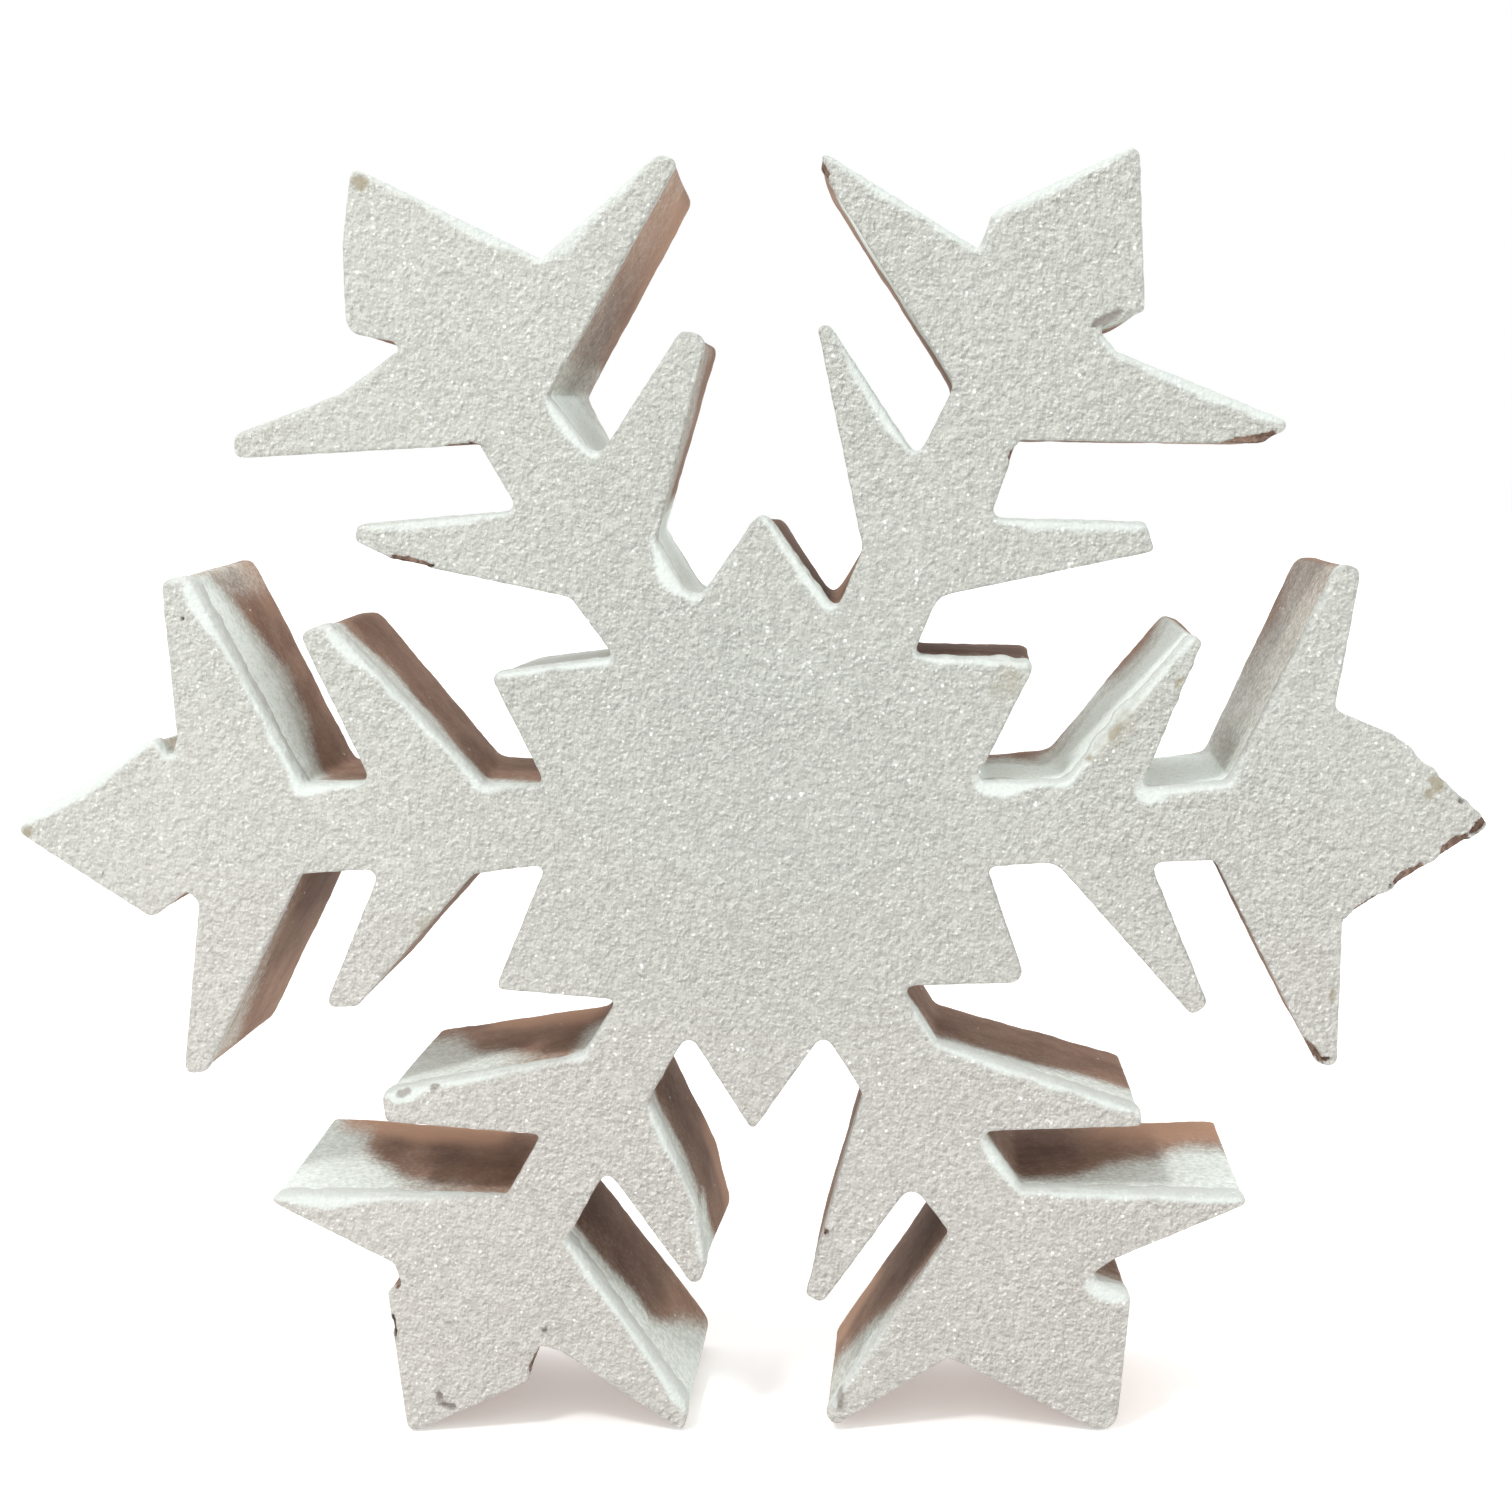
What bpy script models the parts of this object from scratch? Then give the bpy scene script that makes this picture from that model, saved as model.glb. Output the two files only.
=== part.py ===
"""Standing snowflake: a thick fibreboard snowflake with a built-up glitter coat on its front face.

The drawing is one half arm, mirrored and turned to make six arms. The real piece was sawn by hand, so
SAW_WANDER moves each half arm's corners off the drawing, and SAW_LEAN says where the cut drifted on
its way through the board. The snowflake stands upright: X runs across it, Z is up, and its front faces
-Y. The origin is the middle of the flat back face, where the six arm centre lines meet.
"""

import math
from collections import namedtuple

import bpy
from mathutils import Matrix, Vector

MM = 0.001

# Driving dimensions, in millimetres.
BOARD_THICKNESS = 18.0
COAT_THICKNESS = 0.6
COAT_GAP = 0.3
COAT_OVERHANG = 0.1
COAT_EDGE_ROUNDING = 0.35
ARM_REACH = 62.8
STAR_REACH = 26.5
TRUNK_HALF_WIDTH = 3.6

ARM_ANGLES = (0, 60, 120, 180, 240, 300)
STAR_POINT_OFFSET = 30
LEFT, RIGHT = 1, -1
STEPS_PER_CORNER = 3
SMALLEST_RADIUS = 0.15
STRAIGHT = math.radians(1)
SQUARE = (0.0, 0.0)

# A corner lies "out" along the arm from the centre and "aside" from the arm's centre line.
Corner = namedtuple("Corner", "out aside radius")

# Half an arm as drawn, walked from the star's valley to the shoulder of the arm's tip.
HALF_ARM = {
    "valley": Corner(18.5, TRUNK_HALF_WIDTH, 0.55),
    "inner_root": Corner(24.6, TRUNK_HALF_WIDTH, 0.8),
    "inner_tip_near": Corner(36.7, 16.3, 0.6),
    "inner_tip_far": Corner(38.4, 15.6, 0.6),
    "middle_root": Corner(32.6, TRUNK_HALF_WIDTH, 0.7),
    "outer_root": Corner(39.0, TRUNK_HALF_WIDTH, 0.7),
    "outer_tip_near": Corner(48.0, 21.4, 0.8),
    "outer_tip_far": Corner(50.0, 21.2, 0.6),
    "notch_mouth": Corner(49.0, 7.7, 0.7),
    "notch": Corner(49.4, 5.9, 0.4),
    "shoulder": Corner(52.4, 7.6, 0.8),
}

# Corners that only some half arms have, where the saw bowed an edge: the corner each one follows.
BOWS = {
    "inner_edge": "inner_root",
    "outer_edge": "outer_tip_far",
    "notch_floor": "notch",
    "tip_edge": "shoulder",
}

# How far each real corner lies from the drawing: (out, aside), and its own radius where that differs.
# None leaves a corner out. A bow is a whole Corner of its own.
SAW_WANDER = {
    (0, LEFT): {
        "inner_root": (1.4, 0.0, 1.2),
        "inner_tip_near": (-0.6, -0.5),
        "inner_tip_far": (-1.3, -0.3),
        "middle_root": (-0.5, -0.7),
        "outer_root": (0.4, -0.2),
        "outer_tip_near": (0.1, 0.3, 1.0),
        "outer_tip_far": (-0.2, -0.2),
        "notch_mouth": None,
        "notch": (-1.5, 3.6, 0.8),
        "shoulder": (0.4, -0.2, 1.3),
    },
    (0, RIGHT): {
        "valley": (0.9, 0.0),
        "inner_root": (0.6, -0.4, 1.8),
        "inner_tip_far": (-0.4, -0.3),
        "middle_root": (0.4, -0.4),
        "outer_root": (-0.6, -0.6),
        "outer_tip_near": (-0.8, -0.9, 1.2),
        "outer_tip_far": (-1.2, -0.7),
        "notch_mouth": None,
        "notch": (-0.4, 2.2),
        "shoulder": None,
    },
    (60, LEFT): {
        "valley": (0.4, -0.7),
        "inner_root": (0.0, 0.0, 1.8),
        "inner_tip_near": (1.7, -0.5, 0.4),
        "inner_tip_far": (0.6, -0.5),
        "middle_root": (0.4, -0.3),
        "outer_root": (0.9, 0.1, 1.3),
        "outer_tip_near": (1.5, 0.5, 0.4),
        "outer_tip_far": (0.7, 1.1, 0.3),
        "notch_mouth": None,
        "notch": (0.7, 1.5),
        "shoulder": (0.9, 0.3, 1.1),
    },
    (60, RIGHT): {
        "valley": (0.4, 0.8),
        "inner_root": (-0.4, 0.1, 1.7),
        "inner_tip_near": (-0.5, 1.0, 0.4),
        "inner_tip_far": (-0.6, -0.1),
        "middle_root": (-0.8, 0.6),
        "outer_root": (-0.5, -0.6),
        "outer_tip_near": (-0.1, -1.0, 1.6),
        "outer_tip_far": (0.5, 0.6, 0.5),
        "notch_mouth": (-0.5, -1.3),
        "notch": (-0.1, -2.0, 0.6),
        "shoulder": (0.0, -0.9, 0.5),
    },
    (120, LEFT): {
        "valley": (-0.4, -0.6, 0.4),
        "inner_root": (-0.3, 0.0, 1.3),
        "inner_edge": Corner(34.5, 14.8, 1.7),
        "inner_tip_near": (0.8, 0.5),
        "inner_tip_far": (0.2, 0.5),
        "outer_tip_near": (0.7, 0.8),
        "outer_tip_far": (0.2, -0.3),
        "outer_edge": Corner(48.5, 11.6, 2.5),
        "notch_mouth": None,
        "notch": (-0.4, -0.6),
        "notch_floor": Corner(49.9, 5.4, 0.8),
        "shoulder": (0.1, 0.8, 1.3),
        "tip_edge": Corner(58.6, 5.0, 1.6),
    },
    (120, RIGHT): {
        "valley": (-0.1, 1.3, 1.0),
        "inner_root": (0.1, 1.4, 0.7),
        "inner_tip_near": (0.2, 0.9, 1.0),
        "inner_tip_far": (0.0, 0.0, 0.8),
        "middle_root": (0.2, 0.5, 1.0),
        "outer_root": (0.5, -0.3, 0.4),
        "outer_tip_near": (2.2, 1.1),
        "outer_tip_far": (1.5, -0.1, 0.8),
        "notch_mouth": None,
        "notch": (-0.2, 2.7, 0.6),
        "shoulder": None,
    },
    (180, LEFT): {
        "valley": (-0.7, -0.2),
        "inner_root": (-0.5, 0.6),
        "inner_tip_near": (-2.2, -0.5, 0.8),
        "inner_tip_far": (-1.0, 0.4),
        "middle_root": (-0.5, 0.2),
        "outer_root": (0.0, 0.6, 0.5),
        "outer_tip_near": (0.0, 0.3),
        "outer_tip_far": (0.0, 0.7),
        "notch_mouth": (-1.0, -0.9),
        "notch": (-0.4, -0.2),
        "shoulder": (-0.2, 0.5),
    },
    (180, RIGHT): {
        "valley": (-0.8, -0.2),
        "inner_root": (-1.6, -0.2),
        "inner_tip_near": (-0.8, 1.0, 0.8),
        "inner_tip_far": (0.0, 0.7),
        "outer_root": (-0.4, -0.2),
        "outer_tip_near": (-0.2, 0.0),
        "outer_tip_far": (0.1, -0.4, 0.8),
        "notch_mouth": (0.3, -0.2),
        "notch": (0.6, -0.6),
        "shoulder": (-1.2, -0.1, 0.4),
    },
    (240, LEFT): {
        "valley": (-0.1, 0.2, 0.8),
        "inner_root": (0.9, 0.2),
        "inner_edge": Corner(31.5, 12.0, 3.4),
        "inner_tip_near": (-1.1, -1.1, 1.2),
        "inner_tip_far": (-0.2, 0.2),
        "outer_root": (0.9, 0.1, 0.4),
        "outer_tip_near": (-0.2, -1.0, 1.6),
        "outer_tip_far": (0.0, -0.3, 0.4),
        "notch_mouth": (0.1, 0.4, 1.3),
        "notch": (0.2, 0.3),
        "shoulder": (0.6, -0.6),
    },
    (240, RIGHT): {
        "valley": (0.5, -0.9),
        "inner_root": (0.3, -0.6),
        "inner_tip_near": (0.0, 0.2),
        "inner_tip_far": (0.3, -0.6, 0.4),
        "middle_root": (0.2, -0.9, 0.4),
        "outer_root": (0.3, -0.9),
        "outer_tip_near": None,
        "outer_tip_far": (0.3, 0.4, 0.4),
        "notch_mouth": (0.6, 0.7),
        "notch": (1.5, 0.9),
        "shoulder": (-0.2, 0.0, 0.5),
    },
    (300, LEFT): {
        "valley": (-0.4, 0.1),
        "inner_root": (-0.7, 0.2),
        "inner_tip_near": (0.8, -0.5),
        "inner_tip_far": (0.4, -0.2, 0.4),
        "middle_root": (-0.2, -0.4, 0.5),
        "outer_root": (-0.3, 0.1),
        "outer_tip_near": None,
        "outer_tip_far": (-0.8, -0.1, 0.4),
        "notch_mouth": (-1.2, -0.1),
        "notch": (-1.3, -1.2, 0.5),
        "shoulder": (-1.1, -0.4),
    },
    (300, RIGHT): {
        "valley": (-0.2, 0.4, 0.8),
        "inner_root": (0.0, 0.2, 1.2),
        "inner_tip_near": (0.9, 0.8, 0.4),
        "inner_tip_far": (0.6, 0.7),
        "middle_root": (0.9, 0.6, 1.0),
        "outer_root": (0.0, -0.1, 1.0),
        "outer_tip_near": (-0.3, -0.3),
        "outer_tip_far": (-0.8, -0.2),
        "notch_mouth": None,
        "notch": (-0.9, 3.3, 1.3),
        "shoulder": None,
    },
}

# The arms' tips and the star's points between them: (out, aside) off the drawing, and the radius.
TIP_WANDER = {
    0: (-1.8, 0.0, 0.7),
    60: (0.7, 0.4, 0.6),
    120: (0.9, 1.0, 0.6),
    180: (1.2, 0.4, 0.6),
    240: (0.0, 0.2, 0.7),
    300: (-0.8, -0.3, 1.5),
}
STAR_WANDER = {
    30: (0.7, 0.1, 0.6),
    90: (-0.1, -0.8, 0.75),
    150: (-0.8, 0.0, 0.6),
    210: (0.1, 1.1, 0.5),
    270: (0.1, -0.5, 0.4),
    330: (0.0, -0.3, 0.9),
}

# Where the cut came out at the back face, against a square cut: (out, aside) for each drifted corner.
SAW_LEAN = {
    (0, LEFT): {
        "inner_root": (0.0, 0.6),
        "inner_tip_near": (0.1, 0.9),
        "inner_tip_far": (1.2, 0.7),
        "outer_root": (0.8, 0.7),
        "outer_tip_far": (1.0, 0.7),
    },
    (0, RIGHT): {
        "outer_root": (0.8, -0.4),
        "outer_tip_near": (0.8, -0.4),
    },
    (60, LEFT): {
        "valley": (0.2, 0.8),
        "middle_root": (0.0, -0.3),
        "outer_root": (0.4, -0.3),
        "outer_tip_near": (0.4, -0.2),
    },
    (60, RIGHT): {
        "outer_root": (0.3, -0.2),
        "outer_tip_near": (0.3, -0.2),
    },
    (120, LEFT): {
        "outer_root": (0.6, -0.3),
        "outer_tip_near": (0.6, -0.3),
    },
    (120, RIGHT): {
        "inner_root": (1.3, -0.3),
        "inner_tip_near": (0.9, 0.2),
        "outer_root": (0.2, 1.2),
        "outer_tip_near": (-0.3, -0.4),
    },
    (180, LEFT): {
        "outer_root": (-0.3, 0.1),
        "outer_tip_near": (-0.3, 0.1),
    },
    (180, RIGHT): {
        "inner_root": (1.8, 0.3),
        "inner_tip_far": (0.4, 1.0),
        "outer_tip_near": (-0.1, 0.9),
        "outer_tip_far": (-0.3, 1.6),
    },
    (240, LEFT): {
        "inner_edge": (-0.2, 0.2),
        "inner_tip_near": (0.6, 1.6),
        "outer_tip_near": (-0.6, 0.4),
    },
    (240, RIGHT): {
        "inner_tip_near": (-1.4, -0.5),
        "outer_tip_far": (-1.7, 0.4),
    },
    (300, LEFT): {
        "inner_root": (1.1, -0.1),
        "inner_tip_near": (0.5, 0.6),
        "outer_tip_far": (-0.8, 1.2),
    },
    (300, RIGHT): {
        "inner_root": (0.5, -0.5),
        "inner_tip_near": (0.5, -0.5),
        "outer_root": (0.5, -0.3),
        "outer_tip_near": (0.5, -0.2),
    },
}
STAR_LEAN = {
    30: (1.3, -0.5),
    90: (-0.1, -0.6),
}


def place(angle, side, out, aside):
    """A point given along and beside an arm, as (x, z) across the snowflake's face."""
    turn = math.radians(angle)
    along = Vector((math.cos(turn), math.sin(turn)))
    beside = Vector((-math.sin(turn), math.cos(turn)))
    return along * out + beside * (aside * side)


def sawn_half_arm(angle, side):
    """The half arm's corners as (name, Corner), from the valley out to the shoulder."""
    wander = SAW_WANDER[angle, side]
    corners = []
    for name, drawn in HALF_ARM.items():
        moved = wander.get(name, SQUARE)
        if moved is not None:
            radius = moved[2] if len(moved) == 3 else drawn.radius
            corners.append((name, Corner(drawn.out + moved[0], drawn.aside + moved[1], radius)))
        for bow, follows in BOWS.items():
            if follows == name and bow in wander:
                corners.append((bow, wander[bow]))
    return corners


def half_arm_corners(angle, side, depth):
    """(x, z, radius) of each corner of a half arm, at a depth of 0 for the front face to 1 for the back."""
    lean = SAW_LEAN.get((angle, side), {})
    placed = []
    for name, corner in sawn_half_arm(angle, side):
        drift_out, drift_aside = lean.get(name, SQUARE)
        out = corner.out + drift_out * depth
        aside = corner.aside + drift_aside * depth
        placed.append((place(angle, side, out, aside), corner.radius))
    return placed


def point_corner(angle, reach, wander, lean, depth):
    """(x, z, radius) of an arm's tip or a star point."""
    out = reach + wander[0] + lean[0] * depth
    aside = wander[1] + lean[1] * depth
    return place(angle, LEFT, out, aside), wander[2]


def outline_corners(depth):
    """The snowflake's corners, counter-clockwise seen from the front, with X right and Z up."""
    corners = []
    for angle in ARM_ANGLES:
        star = (angle - STAR_POINT_OFFSET) % 360
        corners.append(point_corner(star, STAR_REACH, STAR_WANDER[star], STAR_LEAN.get(star, SQUARE), depth))
        corners += half_arm_corners(angle, RIGHT, depth)
        corners.append(point_corner(angle, ARM_REACH, TIP_WANDER[angle], SQUARE, depth))
        corners += reversed(half_arm_corners(angle, LEFT, depth))
    return corners


def corner_normals(corners):
    """Each corner's outward mitre: the move that shifts both of its edges outwards by one."""
    mitres = []
    for i, (here, _) in enumerate(corners):
        before = (here - corners[i - 1][0]).normalized()
        after = (corners[(i + 1) % len(corners)][0] - here).normalized()
        normals = Vector((before.y, -before.x)) + Vector((after.y, -after.x))
        mitres.append(normals / (1 + before.dot(after)))
    return mitres


def grown(corners, distance):
    """The outline moved outwards by a distance, or inwards when it is negative."""
    moved = []
    for i, (mitre, (here, radius)) in enumerate(zip(corner_normals(corners), corners)):
        before = here - corners[i - 1][0]
        after = corners[(i + 1) % len(corners)][0] - here
        convex = before.cross(after) > 0
        new_radius = radius + distance if convex else radius - distance
        moved.append((here + mitre * distance, max(new_radius, SMALLEST_RADIUS)))
    return moved


def rounded(corners):
    """The outline's points, with every corner rounded to its radius as an arc between its two edges."""
    points = []
    for i, (here, radius) in enumerate(corners):
        back = corners[i - 1][0] - here
        ahead = corners[(i + 1) % len(corners)][0] - here
        opening = back.angle(ahead)
        if math.pi - opening < STRAIGHT:
            points += [here] * (STEPS_PER_CORNER + 1)
            continue
        reach = min(radius / math.tan(opening / 2), 0.45 * back.length, 0.45 * ahead.length)
        radius = reach * math.tan(opening / 2)
        start = here + back.normalized() * reach
        inwards = (back.normalized() + ahead.normalized()).normalized()
        centre = here + inwards * (radius / math.sin(opening / 2))
        sweep = math.pi - opening
        if back.cross(ahead) > 0:
            sweep = -sweep
        for step in range(STEPS_PER_CORNER + 1):
            spin = Matrix.Rotation(sweep * step / STEPS_PER_CORNER, 2)
            points.append(centre + spin @ (start - centre))
    return points


def standing_turn():
    """The turn that brings the two outer feet of the lower arms down to one level."""
    points = rounded(outline_corners(depth=0))
    left_foot = min((p for p in points if p.x < 0), key=lambda p: p.y)
    right_foot = min((p for p in points if p.x > 0), key=lambda p: p.y)
    slope = math.atan2(right_foot.y - left_foot.y, right_foot.x - left_foot.x)
    return Matrix.Rotation(-slope, 2)


def loop(points, turn, y):
    """An outline's points set upright at one depth, in metres."""
    turned = [turn @ p for p in points]
    return [Vector((p.x, y, p.y)) * MM for p in turned]


def solid_from_loops(name, loops, material):
    """A closed solid through matching loops, ordered from the back to the front, capped at both ends."""
    count = len(loops[0])
    vertices = [v for ring in loops for v in ring]
    faces = [list(reversed(range(count)))]
    for layer in range(len(loops) - 1):
        for i in range(count):
            j = (i + 1) % count
            behind, ahead = layer * count, (layer + 1) * count
            faces.append([behind + i, behind + j, ahead + j, ahead + i])
    last = (len(loops) - 1) * count
    faces.append([last + i for i in range(count)])
    mesh = bpy.data.meshes.new(name)
    mesh.from_pydata(vertices, [], faces)
    mesh.validate()
    mesh.materials.append(material)
    solid = bpy.data.objects.new(name, mesh)
    bpy.context.scene.collection.objects.link(solid)
    return solid


def plain_material(name, colour, roughness, metallic=0.0):
    """A Principled material of one colour."""
    material = bpy.data.materials.new(name)
    material.use_nodes = True
    shader = material.node_tree.nodes["Principled BSDF"]
    shader.inputs["Base Color"].default_value = (*colour, 1.0)
    shader.inputs["Roughness"].default_value = roughness
    shader.inputs["Metallic"].default_value = metallic
    return material


def build_snowflake_board(turn):
    """The fibreboard: a flat back at y = 0, and walls that follow the saw through to the front face."""
    fibreboard = plain_material("fibreboard", (0.23, 0.14, 0.09), 0.85)
    back = loop(rounded(outline_corners(depth=1)), turn, 0.0)
    front = loop(rounded(outline_corners(depth=0)), turn, -BOARD_THICKNESS)
    return solid_from_loops("snowflake_board", [back, front], fibreboard)


def build_glitter_coat(turn):
    """The glitter coat: a thin layer over the front face, its edge proud of the board and rounded."""
    glitter = plain_material("glitter_paint", (0.60, 0.60, 0.58), 0.55, 0.1)
    drawn = outline_corners(depth=0)
    edge = rounded(grown(drawn, COAT_OVERHANG))
    shoulder = rounded(grown(drawn, COAT_OVERHANG - COAT_EDGE_ROUNDING))
    behind = -BOARD_THICKNESS - COAT_GAP
    in_front = behind - COAT_THICKNESS
    loops = [
        loop(edge, turn, behind),
        loop(edge, turn, in_front + COAT_EDGE_ROUNDING),
        loop(shoulder, turn, in_front),
    ]
    return solid_from_loops("glitter_coat", loops, glitter)


def clear_scene():
    for item in list(bpy.data.objects):
        bpy.data.objects.remove(item, do_unlink=True)


def main():
    clear_scene()
    turn = standing_turn()
    build_snowflake_board(turn)
    build_glitter_coat(turn)


main()
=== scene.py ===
"""Looks of the standing snowflake: sawn fibreboard walls with drifts of overspray, under a glitter coat.

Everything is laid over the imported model's own outlines. Lengths are in millimetres until a mesh is made.
X runs across the snowflake, Z is up, its front faces -Y, and its flat back lies at y = 0.
"""

import math
from collections import namedtuple

import bmesh
import bpy
import numpy as np
from mathutils import Matrix, Vector, geometry, kdtree, noise


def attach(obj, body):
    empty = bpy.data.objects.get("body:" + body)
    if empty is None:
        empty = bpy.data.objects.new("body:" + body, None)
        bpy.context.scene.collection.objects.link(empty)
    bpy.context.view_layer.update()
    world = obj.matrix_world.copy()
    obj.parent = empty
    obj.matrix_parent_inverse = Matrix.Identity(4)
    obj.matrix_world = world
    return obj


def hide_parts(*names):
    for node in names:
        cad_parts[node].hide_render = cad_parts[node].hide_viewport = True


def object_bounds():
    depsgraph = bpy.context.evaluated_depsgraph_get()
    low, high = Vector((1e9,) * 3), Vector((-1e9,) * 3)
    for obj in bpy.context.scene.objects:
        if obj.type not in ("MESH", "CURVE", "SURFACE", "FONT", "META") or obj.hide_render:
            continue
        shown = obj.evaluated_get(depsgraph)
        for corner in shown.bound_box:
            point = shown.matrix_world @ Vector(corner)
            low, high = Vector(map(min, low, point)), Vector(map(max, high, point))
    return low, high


MM = 0.001

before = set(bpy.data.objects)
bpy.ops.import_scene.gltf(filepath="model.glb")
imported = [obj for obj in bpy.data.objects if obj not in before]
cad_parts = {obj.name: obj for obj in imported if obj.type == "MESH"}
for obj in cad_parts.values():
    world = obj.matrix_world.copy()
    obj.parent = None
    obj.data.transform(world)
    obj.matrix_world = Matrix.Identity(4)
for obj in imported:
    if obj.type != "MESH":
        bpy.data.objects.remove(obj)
cad_low, cad_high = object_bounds()

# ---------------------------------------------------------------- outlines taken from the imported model

DECIMALS = 3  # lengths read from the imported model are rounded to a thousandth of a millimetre
CAP_TOLERANCE = 0.01
FEWEST_STEPS = 2  # the fewest steps that an edge of an outline is cut into


def welded(node):
    """A CAD node's points in millimetres with doubles merged, and its triangles."""
    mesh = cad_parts[node].data
    points = np.array([v.co[:] for v in mesh.vertices]) / MM
    triangles = np.array([p.vertices[:] for p in mesh.polygons])
    merged, index = np.unique(np.round(points, DECIMALS), axis=0, return_inverse=True)
    return merged, index.reshape(-1)[triangles]


def cap_loop(points, triangles, y):
    """The outline, in order and counter-clockwise seen from the front, of the flat cap at this depth."""
    on_cap = np.abs(points[:, 1] - y) < CAP_TOLERANCE
    cap = triangles[on_cap[triangles].all(axis=1)]
    directed = {(a, b) for t in cap for a, b in zip(t, np.roll(t, -1))}
    follows = {a: b for a, b in directed if (b, a) not in directed}
    first = min(follows)
    loop = [first]
    while follows[loop[-1]] != first:
        loop.append(follows[loop[-1]])
    outline = points[loop][:, [0, 2]]
    x, z = outline.T
    if np.sum(x * np.roll(z, -1) - np.roll(x, -1) * z) < 0:
        outline = outline[::-1]
    return outline


def matched(front, back):
    """The back outline, started at the point that pairs with the front outline's first."""
    turns = range(len(back))
    misfit = [np.sum((front - np.roll(back, -k, axis=0)) ** 2) for k in turns]
    return np.roll(back, -int(np.argmin(misfit)), axis=0)


def divided(loops, spacing):
    """The loops with every edge cut into short steps, alike on each loop so that they stay paired."""
    lengths = [np.linalg.norm(np.roll(loop, -1, axis=0) - loop, axis=1) for loop in loops]
    steps = np.maximum(FEWEST_STEPS, np.ceil(np.max(lengths, axis=0) / spacing)).astype(int)
    result = []
    for loop in loops:
        ahead = np.roll(loop, -1, axis=0)
        pieces = [a + (b - a) * (np.arange(n) / n)[:, None] for a, b, n in zip(loop, ahead, steps)]
        result.append(np.concatenate(pieces))
    return result


def eased(values, passes):
    """Values round a closed loop, smoothed."""
    for _ in range(passes):
        values = (np.roll(values, 1, axis=0) + 2 * values + np.roll(values, -1, axis=0)) / 4
    return values


def outward(loop):
    """Unit normals that point away from the material, for a counter-clockwise loop."""
    along = np.roll(loop, -1, axis=0) - np.roll(loop, 1, axis=0)
    normals = np.stack([along[:, 1], -along[:, 0]], axis=1)
    return normals / np.linalg.norm(normals, axis=1, keepdims=True)


board_points, board_triangles = welded("snowflake_board")
BOARD_FRONT = board_points[:, 1].min()
BOARD_BACK = board_points[:, 1].max()
cad_front = cap_loop(board_points, board_triangles, BOARD_FRONT)
cad_back = matched(cad_front, cap_loop(board_points, board_triangles, BOARD_BACK))

# The spacing of the stations round the outline, and how often each line is smoothed.
OUTLINE_STEP = 0.34
CORNER_SOFTENING = 2
BACK_SOFTENING = 10

front_line, back_line = divided([cad_front, cad_back], OUTLINE_STEP)
front_line = eased(front_line, CORNER_SOFTENING)
back_line = eased(eased(back_line, CORNER_SOFTENING), BACK_SOFTENING)
STATIONS = len(front_line)

# ------------------------------------------------------------------------------------------- noise

# How far apart, along each axis, the noise of one seed is read from the noise of the next.
SEED_SHIFT = (17.3, 5.1, 9.7)


def grain(points, size, seed):
    """Smooth noise from -1 to 1 at these points, with lumps about this size."""
    shift = Vector([seed * length for length in SEED_SHIFT])
    return np.array([noise.noise(Vector(p) / size + shift) for p in points])


def at_depth(flat, y):
    """Points of an outline set at a depth."""
    depth = np.broadcast_to(y, len(flat))
    return np.stack([flat[:, 0], depth, flat[:, 1]], axis=1)


# ------------------------------------------------------------------------------------ mesh building


def solid(name, points, faces, material):
    """A smooth-shaded object from points in millimetres."""
    mesh = bpy.data.meshes.new(name)
    mesh.from_pydata([tuple(p) for p in np.asarray(points) * MM], [], [tuple(f) for f in faces])
    mesh.validate()
    mesh.materials.append(material)
    mesh.polygons.foreach_set("use_smooth", [True] * len(mesh.polygons))
    made = bpy.data.objects.new(name, mesh)
    bpy.context.scene.collection.objects.link(made)
    return made


def mark(made, name, values):
    """A value for each vertex that the material reads."""
    attribute = made.data.attributes.new(name, "FLOAT", "POINT")
    attribute.data.foreach_set("value", np.asarray(values, np.float32))


def ring_faces(count, first, second):
    """Quads between two rings of vertices, numbered from first and from second."""
    i = np.arange(count)
    j = (i + 1) % count
    return np.stack([first + i, first + j, second + j, second + i], axis=1).tolist()


NO_POINTS = np.zeros((0, 2))
INSIDE_ONLY = 1  # keeps the triangles that lie inside the outline
MERGE_GAP = 1e-7


def filled(outline, inner):
    """Triangles that fill an outline through extra inner points. Inner points come after the outline's."""
    count = len(outline)
    edges = [(i, (i + 1) % count) for i in range(count)]
    flat = [Vector(p) for p in np.concatenate([outline, inner])]
    _, _, triangles, origins, _, _ = geometry.delaunay_2d_cdt(flat, edges, [], INSIDE_ONLY, MERGE_GAP)
    given = [o[0] if o else None for o in origins]
    return [[given[v] for v in t] for t in triangles if None not in (given[v] for v in t)]


ROW_HEIGHT_SHARE = 0.87  # the rows of a triangular grid lie closer than its points
SCATTER_SHARE = 0.25  # how far a point may stray, as a share of the spacing


def interior(outline, spacing, rim, seed):
    """Scattered points inside an outline, no nearer to it than rim."""
    rng = np.random.default_rng(seed)
    low, high = outline.min(axis=0), outline.max(axis=0)
    ahead = np.roll(outline, -1, axis=0)
    found = []
    for row, z in enumerate(np.arange(low[1] + spacing / 2, high[1], spacing * ROW_HEIGHT_SHARE)):
        crosses = (outline[:, 1] <= z) != (ahead[:, 1] <= z)
        a, b = outline[crosses], ahead[crosses]
        xs = np.sort(a[:, 0] + (z - a[:, 1]) / (b[:, 1] - a[:, 1]) * (b[:, 0] - a[:, 0]))
        grid = np.arange(low[0] + spacing / 2 * (row % 2), high[0], spacing)
        within = np.searchsorted(xs, grid) % 2 == 1
        found.append(np.stack([grid[within], np.full(within.sum(), z)], axis=1))
    points = np.concatenate(found)
    points += rng.uniform(-SCATTER_SHARE, SCATTER_SHARE, points.shape) * spacing
    return points[edge_distance(points) > rim]


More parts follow.
